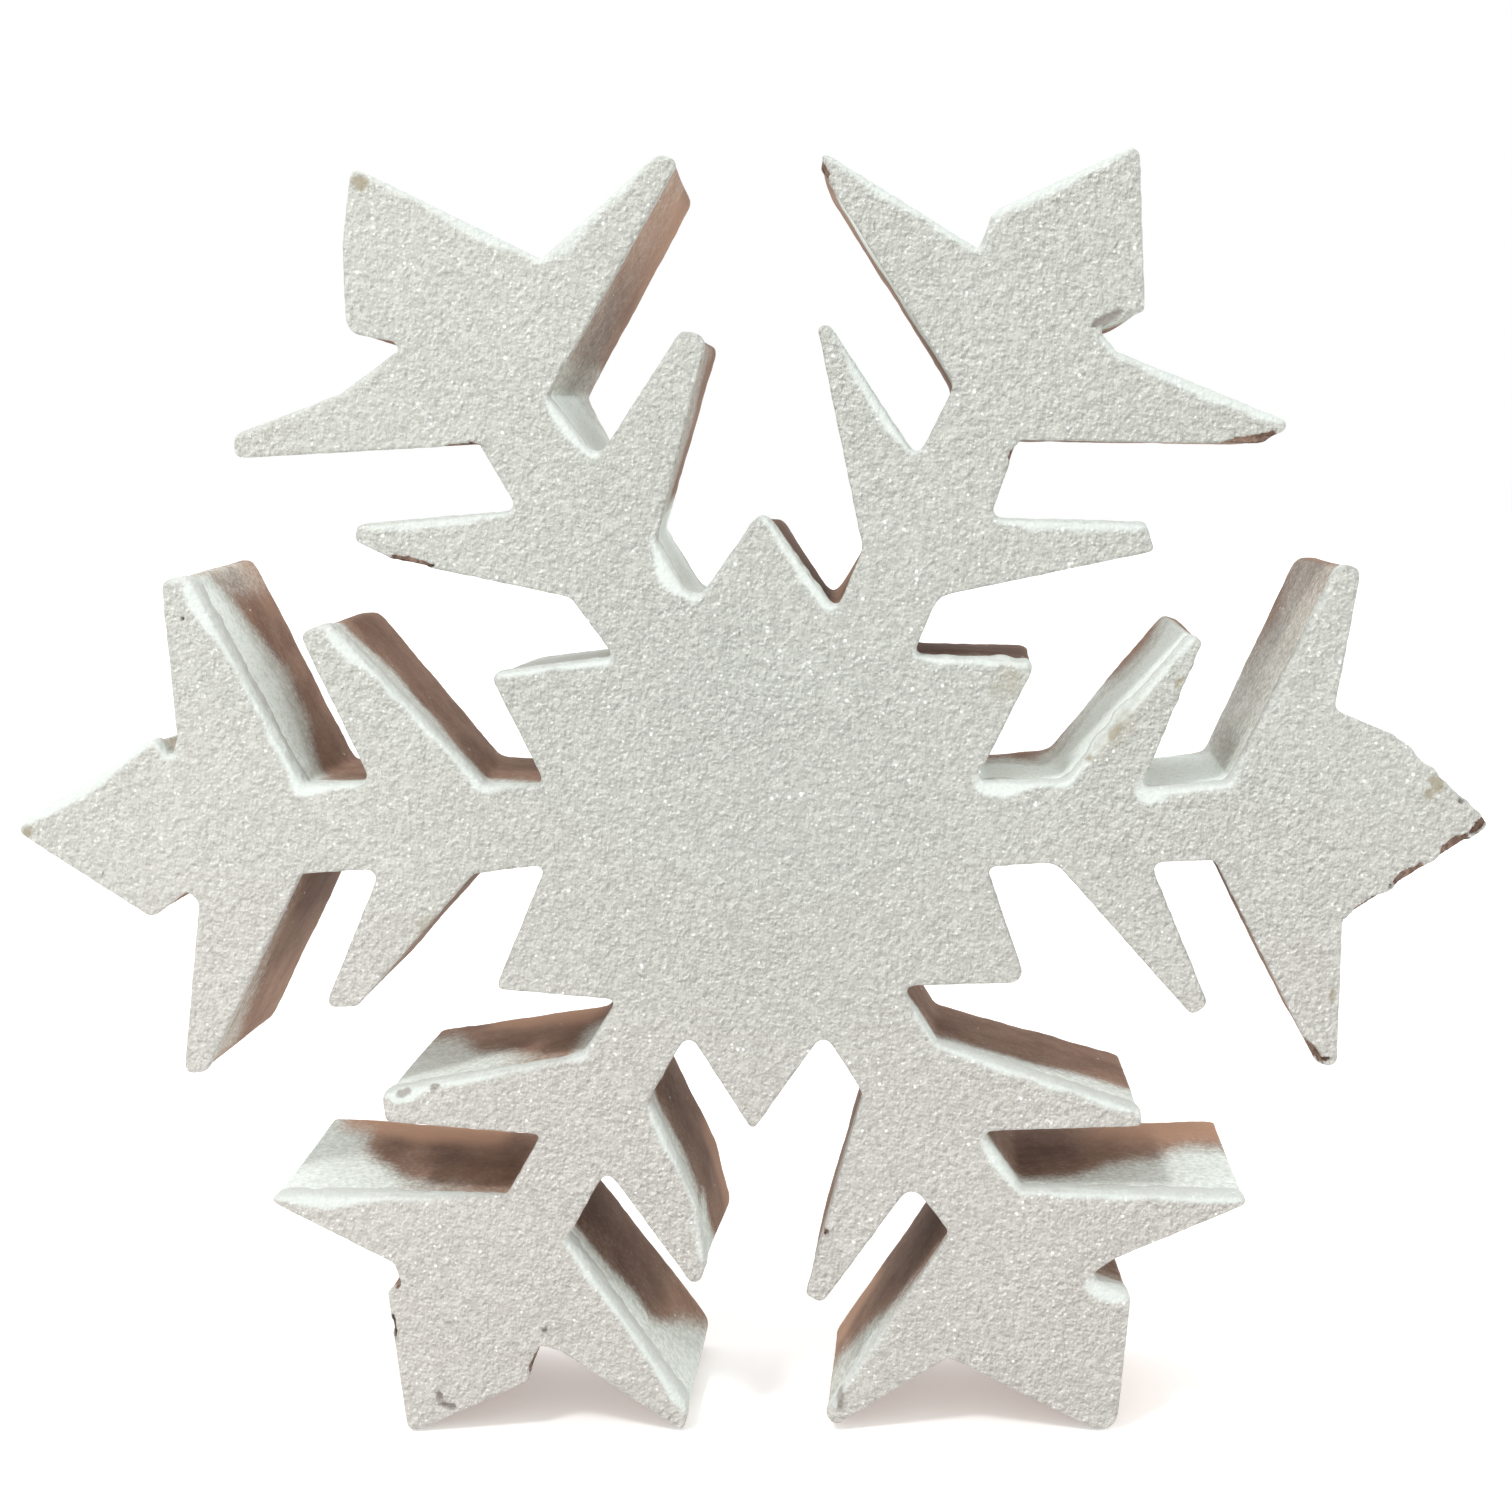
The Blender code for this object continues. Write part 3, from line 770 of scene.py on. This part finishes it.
def glint_share(n, drift, rim):
    """Painted glints: bright ones in the drifts, dimmer ones everywhere, both weaker on the rim."""
    bright = n.glints(0.5, n.ramp(drift, 0.35, 0.65, 0.93, 0.84), 0.42, seed=2)
    dim = n.math("MULTIPLY", n.glints(0.4, 0.72, 0.40, seed=5), DIM_GLINT_SHARE)
    return n.math("MULTIPLY", n.math("MAXIMUM", bright, dim), n.ramp(rim, 0.2, 0.9, 1.0, 0.5))


def worn(n, colour, fine, lumps):
    """The paint's colour with its stains, its pits and the places where it broke off the board."""
    stain = n.math("MULTIPLY", n.mark("stain"), n.ramp(lumps, 0.25, 0.55, 0.4, 0.85))
    colour = n.mix(stain, colour, STAIN_TAN)
    colour = n.mix(n.math("MULTIPLY", n.mark("pit"), PIT_SHARE), colour, PIT_BROWN)
    bare = n.ramp(n.math("ADD", n.mark("bare"), n.around(fine, 0.8)), 0.4, 0.6)
    return n.mix(bare, colour, n.mix(n.ramp(lumps, 0.35, 0.65), BARE_DARK, BARE_LIGHT))


def glitter_material():
    """Grey-white glitter paint: painted light and shade on grains, painted glints, a pale rim, tan and bare
    places.
    """
    n = Nodes("glitter_paint")
    fine = n.noise(**FINE_GRAIN)
    lumps = n.noise(**COARSE_GRAIN)
    drift = n.noise(**WIDE_DRIFT)
    rim = n.mark("rim")
    glint = glint_share(n, drift, rim)
    colour = paint_grey(n, fine, lumps, drift)
    colour = n.mix(n.math("MULTIPLY", rim, RIM_SHARE), colour, n.mix(fine, RIM_SHADE, RIM_LIT))
    # The glints are painted: white in the colour here, and a little glow of their own below.
    colour = worn(n, n.mix(glint, colour, WHITE), fine, lumps)
    roughness = n.ramp(glint, 0.0, 1.0, PAINT_ROUGHNESS, GLINT_ROUGHNESS)
    under = n.bump(lumps, 0.3, n.ramp(rim, 0.0, 1.0, 1.0, 0.6))
    over = n.bump(fine, 0.22, n.ramp(rim, 0.0, 1.0, 1.0, 0.4), under)
    # Painted glints glow a little, though they are no lamp.
    n.glow(WHITE, n.math("MULTIPLY", glint, PAINTED_GLINT_GLOW))
    return n.finish(colour, roughness, over)


# -------------------------------------------------------------------------------- sawn fibreboard

FIBRES = {"size": 0.45, "detail": 4, "roughness": 0.6, "seed": 1}
BLOTCHES = {"size": 3.2, "detail": 2, "seed": 3}
DUST = {"size": 0.28, "detail": 2, "roughness": 0.7, "seed": 8}
SPECK_CELL = 0.5

WOOD_DARK = rgb(129, 97, 77)
WOOD_LIGHT = rgb(154, 121, 99)
FIBRE_TAN = rgb(164, 140, 122)
# Painted shade: the dark brown of the wood where it lies in shadow.
PAINTED_SHADE_BROWN = rgb(86, 62, 48)
# Painted light: the warm tan of the wood where light falls on it.
PAINTED_LIGHT_TAN = rgb(190, 150, 122)
MIST_SHADE = rgb(208, 219, 212)
MIST_LIT = rgb(244, 253, 248)
THICK_MIST = rgb(240, 250, 246)
MIST_PORES = rgb(196, 202, 197)
SPECK_WHITE = rgb(240, 242, 238)
PAINTED_GLOW_COLOUR = rgb(200, 222, 218)

# Painted light: a little glow of their own brightens the thickest drifts.
PAINTED_GLOW_ON_THICK_MIST = 0.24
MOST_COVER = 0.97
BOARD_ROUGHNESS = 0.85


def bare_wood(n, fibres, blotch):
    """Brown fibreboard, with painted shade where it lies in shadow and painted light, warm tan, near its
    back edge.
    """
    wood = n.mix(n.ramp(blotch, 0.3, 0.7), WOOD_DARK, WOOD_LIGHT)
    wood = n.mix(n.ramp(fibres, 0.35, 0.7, 0.0, 0.3), wood, FIBRE_TAN)
    wood = n.mix(n.mark("painted_shade"), wood, PAINTED_SHADE_BROWN)
    return n.mix(n.mark("painted_light"), wood, PAINTED_LIGHT_TAN)


def mist_cover(n, fibres, dust, blotch):
    """How much of the wood the overspray hides, broken up along its edge."""
    spray = n.math("ADD", n.mark("mist"), n.around(fibres, 0.45))
    spray = n.math("ADD", spray, n.around(dust, 0.5))
    spray = n.math("ADD", spray, n.around(blotch, 0.2))
    return n.ramp(spray, 0.0, 1.0, 0.0, MOST_COVER)


def speckled(n, colour):
    """The colour with stray grains of glitter, most of them where there is mist."""
    distance, chance, _ = n.cells(SPECK_CELL, seed=6)
    rarity = n.ramp(n.mark("mist"), 0.0, 0.6, 0.985, 0.90)
    speck = n.math("MULTIPLY", n.math("GREATER_THAN", chance, rarity), n.ramp(distance, 0.3, 0.2))
    return n.mix(speck, colour, SPECK_WHITE)


def board_material():
    """Sawn brown fibreboard: fuzzy fibres, overspray where the mist reached, painted shade and light, a
    painted glow.
    """
    n = Nodes("sawn_fibreboard")
    fibres = n.noise(**FIBRES)
    blotch = n.noise(**BLOTCHES)
    dust = n.noise(**DUST)
    thick = n.math("MULTIPLY", n.ramp(n.mark("mist"), 1.1, 1.4), n.ramp(dust, 0.35, 0.65, 0.5, 1.0))
    mist = n.mix(n.ramp(fibres, 0.3, 0.7), MIST_SHADE, MIST_LIT)
    mist = n.mix(thick, mist, THICK_MIST)
    mist = n.mix(n.ramp(dust, 0.35, 0.6, 0.3, 0.0), mist, MIST_PORES)
    colour = n.mix(mist_cover(n, fibres, dust, blotch), bare_wood(n, fibres, blotch), mist)
    under = n.bump(blotch, 0.25, 0.4)
    over = n.bump(fibres, 0.08, 0.6, under)
    # Painted light: the thickest drifts glow a little, though they are no lamp.
    n.glow(PAINTED_GLOW_COLOUR, n.math("MULTIPLY", thick, PAINTED_GLOW_ON_THICK_MIST))
    return n.finish(speckled(n, colour), BOARD_ROUGHNESS, over)


# ------------------------------------------------------------------------------------------ board

# The walls stand this far inside the CAD's, so that their unevenness stays within it.
WALL_SET_BACK = 0.10

# The back edge is softened over this reach, by at most this drop.
BACK_EDGE_REACH = 0.35
BACK_EDGE_DROP = 0.12
BACK_EDGE_CURVE = 1.5

# The board's front and the coat's underside meet just behind the CAD's face of the board.
MEETING_DEPTH = BOARD_FRONT + 0.02

# The depths of the rings that a wall is made of: evenly spaced, with closer ones at its two edges.
EVEN_DEPTHS = np.linspace(BOARD_FRONT + 0.4, -BACK_EDGE_REACH, 26)
WALL_DEPTHS = np.concatenate([[MEETING_DEPTH], EVEN_DEPTHS, [-0.12, 0.0]])

# The unevenness of a sawn wall: lump size, height, how short its lumps are cut along the depth, and seed.
Unevenness = namedtuple("Unevenness", "size height depth_share seed")
WALL_UNEVENNESS = (
    Unevenness(3.5, 0.09, 0.35, 1),
    Unevenness(0.9, 0.03, 0.08, 2),
    Unevenness(0.7, 0.03, 1.0, 3),
)


def wall_push(place, y):
    """How far the sawn wall stands out from the outline at this depth."""
    push = 0
    for layer in WALL_UNEVENNESS:
        push += grain(place * (1, layer.depth_share, 1), layer.size, layer.seed) * layer.height
    softened = BACK_EDGE_DROP * (1 - min(1.0, -y / BACK_EDGE_REACH)) ** BACK_EDGE_CURVE
    return push - WALL_SET_BACK - softened


# Stray mist: its strength and its reach behind a plain edge, then behind a beaded one.
STRAY_STRENGTH = (0.2, 0.6)
STRAY_REACH = (1.5, 3.5)


def stray_mist(from_front):
    """Mist that drifts over every front edge, further behind a beaded one."""
    return between(STRAY_STRENGTH, bead) * np.exp(-from_front / between(STRAY_REACH, bead))


def wall_marks(y):
    """The mist, painted shade and painted light round the wall at this depth. The flat back, at 0, has none.
    """
    if y == 0:
        return np.zeros((3, STATIONS))
    from_front = y - BOARD_FRONT
    mist = np.maximum(stroked(MIST, from_front), stray_mist(from_front))
    return mist, stroked(PAINTED_SHADE_STROKES, -y), stroked(PAINTED_LIGHT_STROKES, -y)


def board_piece():
    """The sawn board: wandering walls, a softened back edge and a flat back."""
    rings, marks = [], []
    back_normals, front_normals = outward(back_line), outward(front_line)
    for y in WALL_DEPTHS:
        share = y / BOARD_FRONT
        line = between((back_line, front_line), share)
        normals = between((back_normals, front_normals), share)
        push = wall_push(at_depth(line, y), y)
        rings.append(at_depth(line + normals * push[:, None], y))
        marks.append(wall_marks(y))
    faces = []
    for row in range(len(rings) - 1):
        faces += ring_faces(STATIONS, row * STATIONS, (row + 1) * STATIONS)
    last = (len(rings) - 1) * STATIONS
    faces += filled(rings[0][:, [0, 2]], NO_POINTS)
    faces += [[last + v for v in reversed(t)] for t in filled(rings[-1][:, [0, 2]], NO_POINTS)]
    board = solid("sawn_fibreboard_snowflake", np.concatenate(rings), faces, board_material())
    for name, values in zip(("mist", "painted_shade", "painted_light"), zip(*marks)):
        mark(board, name, np.concatenate(values))
    return board


# ------------------------------------------------------------------------------------------- coat

# The spacing of the points that fill the coat's face, and the insets of the rings behind its edge.
FACE_STEP = 0.31
PATCH_STEP = 0.14
PATCH_MARGIN = 0.2
RIM_RINGS = (0.1, 0.22, 0.38, 0.6, 0.85)
RING_MARGIN = 0.1
RING_SHARE = 0.85  # a ring loses the points that lie nearer to the edge than this share of its inset
PATCH_EDGE_GAP = 0.08
CLOSEST_POINTS = 0.11

# How thick the coat is on the face, as far out as the CAD's. How far in its edge rolls over and how thick
# it is at the edge, both given first where the edge is plain, then where it beaded.
COAT_THICKNESS = round(BOARD_FRONT - cad_low.y / MM, DECIMALS)
ROLL_WIDTH = (0.3, 0.7)
EDGE_THICKNESS = (0.7, 0.4)

# The crust's own relief, as lump size, height and seed. It grows to full height this far from the edge,
# from this share of its height at the edge. So do the clumps.
CRUST_RELIEF = ((1.4, 0.05, 5), (0.6, 0.06, 6), (7, 0.05, 7))
RELIEF_RISE = 0.3
RELIEF_AT_EDGE = 0.3
CLUMP_RISE = 0.6
CLUMP_AT_EDGE = 0.2
CLUMP_SHARE = 0.6
THINNEST_COAT = 0.25
PIT_DEPTH = 0.3
STAIN_DEPTH = 0.08

# The coat's lip: how far it laps onto the wall at least, where the edge is plain, and how much further where
# it beaded, without mist and with it. Its lumps are given as size, height and seed.
LEAST_LIP = 0.12
PLAIN_LIP = 0.35
BEAD_LIP = (0.4, 1.3)
LIP_LUMPS = ((2.2, 0.45, 9), (0.7, 0.35, 10))
LIP_CRUMBLE = (0.3, 1.0)

# The lip's rings, as shares of the way down it, and how far it swells out of the wall on the way.
SKIRT_SHARES = (0.1, 0.25, 0.4, 0.55, 0.7, 0.85, 1.0)
PLAIN_SWELL = 0.03
BEAD_SWELL = 0.12
SWELL_TURN = (0.2 * math.pi, 0.9 * math.pi)
SKIRT_LUMP_SIZE = 0.8
SKIRT_LUMP = 0.08
SKIRT_LUMP_SEED = 11
SKIRT_CRUMBLE = (0.4, 1.0)
LIP_TAPER = 0.06

# How far the lip is tucked in under its end, and how far forward of its end.
TUCK = 0.25
TUCK_RISE = 0.1

# How far the coat's edge wanders, and how far it steps back where it broke away.
EDGE_WANDER = 0.05
EDGE_LUMP_SIZE = 0.9
EDGE_SEED = 8
BROKEN_SETBACK = 0.12

# Where the paint's colour changes over the snowflake: warm low down, and darker round the middle.
WARM_BELOW = 12.0
WARM_SPAN = 40.0
MIDDLE_REACH = 26.0
SNOWFLAKE_REACH = 48.0

# The pale rim's width, without mist and with it, how it wanders, and how softly it ends on the face.
RIM_WIDTH = (0.15, 0.5)
RIM_WANDER = 0.3
RIM_WANDER_SIZE = 2.0
RIM_SEED = 13
RIM_FADE = (-0.2, 0.2)
RIM_STRENGTH = 0.9
RIM_ON_LIP = (0.1, 0.6)  # how beaded an edge is where its lip starts to be pale, and where it is all pale


def coat_height(distance, beaded):
    """The coat's height over the board this far in from the edge: rolled over, more so where it beaded."""
    rolled = np.clip(distance / between(ROLL_WIDTH, beaded), 0, 1)
    edge = between(EDGE_THICKNESS, beaded)
    return edge + (COAT_THICKNESS - edge) * np.sqrt(1 - (1 - rolled) ** 2)


def patch_points(patch):
    """A close grid of points over a patch."""
    reach = max(patch.length, patch.width) / 2 + PATCH_MARGIN
    steps = np.arange(-reach, reach, PATCH_STEP)
    across, up = np.meshgrid(patch.x + steps, patch.z + steps)
    return np.stack([across.ravel(), up.ravel()], axis=1)


def inside(points):
    """Which points lie inside the front outline."""
    ahead = np.roll(front_line, -1, axis=0)
    odd = np.zeros(len(points), bool)
    for (ax, az), (bx, bz) in zip(front_line, ahead):
        crosses = (az > points[:, 1]) != (bz > points[:, 1])
        at = ax + (points[:, 1] - az) / (bz - az if bz != az else 1) * (bx - ax)
        odd ^= crosses & (points[:, 0] < at)
    return odd


def face_points(normals):
    """Points to fill the coat's face: rings close behind its edge, close grids at patches, a scatter."""
    inner = [interior(front_line, FACE_STEP, RIM_RINGS[-1] + RING_MARGIN, 5)]
    for inset in RIM_RINGS:
        ring = front_line - normals * inset
        inner.append(ring[edge_distance(ring) > RING_SHARE * inset])
    close = np.concatenate([patch_points(patch) for patch in BROKEN + PITS + CRISP_STAINS])
    close = close[inside(close)]
    inner.append(close[edge_distance(close) > PATCH_EDGE_GAP])
    return thinned(np.concatenate(inner), CLOSEST_POINTS)


Wear = namedtuple("Wear", "bare pit stain")


def wear_of(flat):
    """How far each point of the face is broken away, pitted and stained, from 0 to 1."""
    bare = patched(flat, BROKEN, edge=0.25, seed=21)
    pit = patched(flat, PITS, edge=0.35, seed=23)
    stain = patched(flat, STAINS, edge=0.5, seed=22)
    tint = TINT_SHARE * patched(flat, TINTS, edge=0.8, seed=24)
    return Wear(bare, pit, np.maximum(stain, tint))


def coat_top(flat, distance, near, wear):
    """The coat's face, set at its height over the board."""
    place = at_depth(flat, BOARD_FRONT)
    relief = sum(grain(place, size, seed) * height for size, height, seed in CRUST_RELIEF)
    height = coat_height(distance, bead[near])
    height = height + relief * np.clip(distance / RELIEF_RISE, RELIEF_AT_EDGE, 1)
    height += added(flat, CLUMPS) * np.clip(distance / CLUMP_RISE, CLUMP_AT_EDGE, 1) * CLUMP_SHARE
    height -= wear.bare * np.clip(height - THINNEST_COAT, 0, None) + wear.pit * PIT_DEPTH
    height -= wear.stain * STAIN_DEPTH
    return at_depth(flat, BOARD_FRONT - height)


def coat_skirt(edge_y, edge_wander, normals):
    """Rings down from the coat's edge: a crumbled lip that laps onto the wall, then back in under it."""
    edge = at_depth(front_line, BOARD_FRONT)
    clumped = added(front_line, CLUMPS)
    reach = bead * between(BEAD_LIP, front_mist) + clumped
    crumble = sum(grain(edge, size, seed) * height for size, height, seed in LIP_LUMPS)
    crumble = crumble * between(LIP_CRUMBLE, bead)
    lip = BOARD_FRONT + np.clip(PLAIN_LIP + reach + crumble, LEAST_LIP, None)
    rings = []
    for share in SKIRT_SHARES:
        y = between((edge_y, lip), share)
        lump = grain(at_depth(front_line, y), SKIRT_LUMP_SIZE, SKIRT_LUMP_SEED) * SKIRT_LUMP
        lump = lump * between(SKIRT_CRUMBLE, bead)
        swell = (PLAIN_SWELL + BEAD_SWELL * bead + clumped) * math.sin(between(SWELL_TURN, share))
        push = edge_wander * (1 - share) + swell + lump - LIP_TAPER * share
        rings.append(at_depth(front_line + normals * push[:, None], y))
    tucked = front_line - normals * TUCK
    rings.append(at_depth(tucked, lip - TUCK_RISE))
    rings.append(at_depth(tucked, MEETING_DEPTH))
    return rings


def rim_share(flat, distance, near):
    """How pale each point of the face is: the pale rim behind a beaded edge."""
    wander = RIM_WANDER * grain(at_depth(flat, BOARD_FRONT), RIM_WANDER_SIZE, RIM_SEED)
    width = between(RIM_WIDTH, front_mist[near]) + wander + added(flat, DRIPS)
    return RIM_STRENGTH * bead[near] * smooth_rise(width - distance, *RIM_FADE)


def coat_faces(inner, skirt):
    """The coat's faces: its top, the rings of its skirt, and a flat underside."""
    faces = filled(front_line, inner)
    previous, start = 0, STATIONS + len(inner)
    for _ in skirt:
        faces += ring_faces(STATIONS, previous, start)
        previous, start = start, start + STATIONS
    underside = filled(skirt[-1][:, [0, 2]], NO_POINTS)
    return faces + [[previous + v for v in reversed(t)] for t in underside]


def mark_coat(coat, points, wear, rim, rings):
    """Gives the coat the values that its paint reads, on its face and on the rings of its skirt."""
    x, _, z = points.T
    plain = np.zeros(STATIONS * rings)
    rim_on_lip = np.tile(smooth_rise(bead, *RIM_ON_LIP), rings)
    mark(coat, "rim", np.concatenate([rim, rim_on_lip]))
    mark(coat, "warm", np.clip((WARM_BELOW - z) / WARM_SPAN, 0, 1))
    mark(coat, "middle", np.exp(-(x**2 + z**2) / MIDDLE_REACH**2))
    mark(coat, "left", np.clip(-x / SNOWFLAKE_REACH, 0, 1))
    mark(coat, "stain", np.concatenate([wear.stain, plain]))
    mark(coat, "pit", np.concatenate([wear.pit, plain]))
    mark(coat, "bare", np.concatenate([wear.bare, np.tile(wear.bare[:STATIONS], rings)]))


def coat_piece():
    """The glitter coat: a grainy face, rolled over the edge, with a crumbled lip lapped onto the walls."""
    normals = outward(front_line)
    inner = face_points(normals)
    flat = np.concatenate([front_line, inner])
    near = np.concatenate([np.arange(STATIONS), nearest_station(inner)])
    distance = np.concatenate([np.zeros(STATIONS), edge_distance(inner)])
    wear = wear_of(flat)
    top = coat_top(flat, distance, near, wear)
    edge = at_depth(front_line, BOARD_FRONT)
    edge_wander = grain(edge, EDGE_LUMP_SIZE, EDGE_SEED) * (EDGE_WANDER + added(front_line, RAGGED))
    edge_wander -= BROKEN_SETBACK * wear.bare[:STATIONS]
    top[:STATIONS] += at_depth(normals * edge_wander[:, None], 0)
    skirt = coat_skirt(top[:STATIONS, 1], edge_wander, normals)
    points = np.concatenate([top, *skirt])
    coat = solid("glitter_coat_crust", points, coat_faces(inner, skirt), glitter_material())
    mark_coat(coat, points, wear, rim_share(flat, distance, near), len(skirt))
    return coat


def faces_out(made):
    """Turns every face of a closed mesh outwards."""
    shape = bmesh.new()
    shape.from_mesh(made.data)
    bmesh.ops.recalc_face_normals(shape, faces=shape.faces)
    shape.to_mesh(made.data)
    shape.free()


def build_object():
    board = board_piece()
    coat = coat_piece()
    for made, node, slot in ((board, "snowflake_board", "board"), (coat, "glitter_coat", "glitter")):
        faces_out(made)
        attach(made, "root")
        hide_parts(node)


# ------------------------------------------------------------------------------------------ stage

# The camera stands where the photo was taken from: its place in millimetres, and its turns in degrees.
CAMERA_PLACE = (10.76, -189.8, 26.39)
CAMERA_PAN = 3.52
CAMERA_TILT = -6.84
CAMERA_ROLL = -1.64
CAMERA_LENS = 48.95
SENSOR_WIDTH = 36.0
NEAREST_SEEN = 10

# The room's even light, the plain white that the camera sees of it, and a weak key light high on the left.
ROOM_LIGHT = 1.15
ROOM_SEEN = 1.0
KEY_PLACE = (-200, -280, 500)
KEY_SIZE = 100
KEY_POWER = 1.5

FLOOR_DARK = rgb(244, 244, 243)
FLOOR_LIGHT = rgb(250, 250, 249)
FLOOR_BLOTCH = 40
FLOOR_GRAIN = 2.0
FLOOR_ROUGHNESS = 0.7
FLOOR_GLOW = 0.3
FLOOR_REACH = 6000


def place_camera():
    data = bpy.data.cameras.new("camera")
    data.lens = CAMERA_LENS
    data.sensor_width = SENSOR_WIDTH
    data.clip_start = NEAREST_SEEN * MM
    camera = bpy.data.objects.new("camera", data)
    bpy.context.scene.collection.objects.link(camera)
    pan = Matrix.Rotation(math.radians(CAMERA_PAN), 4, "Z")
    tilt = Matrix.Rotation(math.radians(90 + CAMERA_TILT), 4, "X")
    roll = Matrix.Rotation(math.radians(CAMERA_ROLL), 4, "Z")
    camera.matrix_world = Matrix.Translation(Vector(CAMERA_PLACE) * MM) @ pan @ tilt @ roll
    bpy.context.scene.camera = camera


def place_key():
    """A soft round light aimed at the middle of the snowflake."""
    data = bpy.data.lights.new("key", "AREA")
    data.shape = "DISK"
    data.size = KEY_SIZE * MM
    data.energy = KEY_POWER
    key = bpy.data.objects.new("key", data)
    place = Vector(KEY_PLACE) * MM
    key.location = place
    key.rotation_mode = "QUATERNION"
    key.rotation_quaternion = (-place).to_track_quat("-Z", "Y")
    bpy.context.scene.collection.objects.link(key)


def floor_material():
    n = Nodes("pale_floor")
    tone = n.mix(n.noise(FLOOR_BLOTCH, detail=1), FLOOR_DARK, FLOOR_LIGHT)
    n.glow(tone, FLOOR_GLOW)
    return n.finish(tone, FLOOR_ROUGHNESS, n.bump(n.noise(FLOOR_GRAIN), 0.02, 0.2))


def place_floor():
    """A wide pale floor under the tips of the lower arms."""
    reach = FLOOR_REACH * MM
    corners = [(-reach, -reach), (reach, -reach), (reach, reach), (-reach, reach)]
    mesh = bpy.data.meshes.new("floor")
    mesh.from_pydata([(x, y, cad_low.z) for x, y in corners], [], [(0, 1, 2, 3)])
    mesh.materials.append(floor_material())
    floor = bpy.data.objects.new("floor", mesh)
    bpy.context.scene.collection.objects.link(floor)


def light_room():
    """An even white room, which is plain white behind the snowflake."""
    world = bpy.data.worlds.new("white_room")
    world.use_nodes = True
    tree = world.node_tree
    background = tree.nodes["Background"]
    background.inputs["Color"].default_value = WHITE
    seen = tree.nodes.new("ShaderNodeLightPath").outputs["Is Camera Ray"]
    brightness = tree.nodes.new("ShaderNodeMapRange")
    tree.links.new(seen, brightness.inputs["Value"])
    brightness.inputs["To Min"].default_value = ROOM_LIGHT
    brightness.inputs["To Max"].default_value = ROOM_SEEN
    tree.links.new(brightness.outputs["Result"], background.inputs["Strength"])
    bpy.context.scene.world = world
    bpy.context.scene.view_settings.view_transform = "Standard"


build_object()
place_camera()
place_floor()
light_room()
place_key()
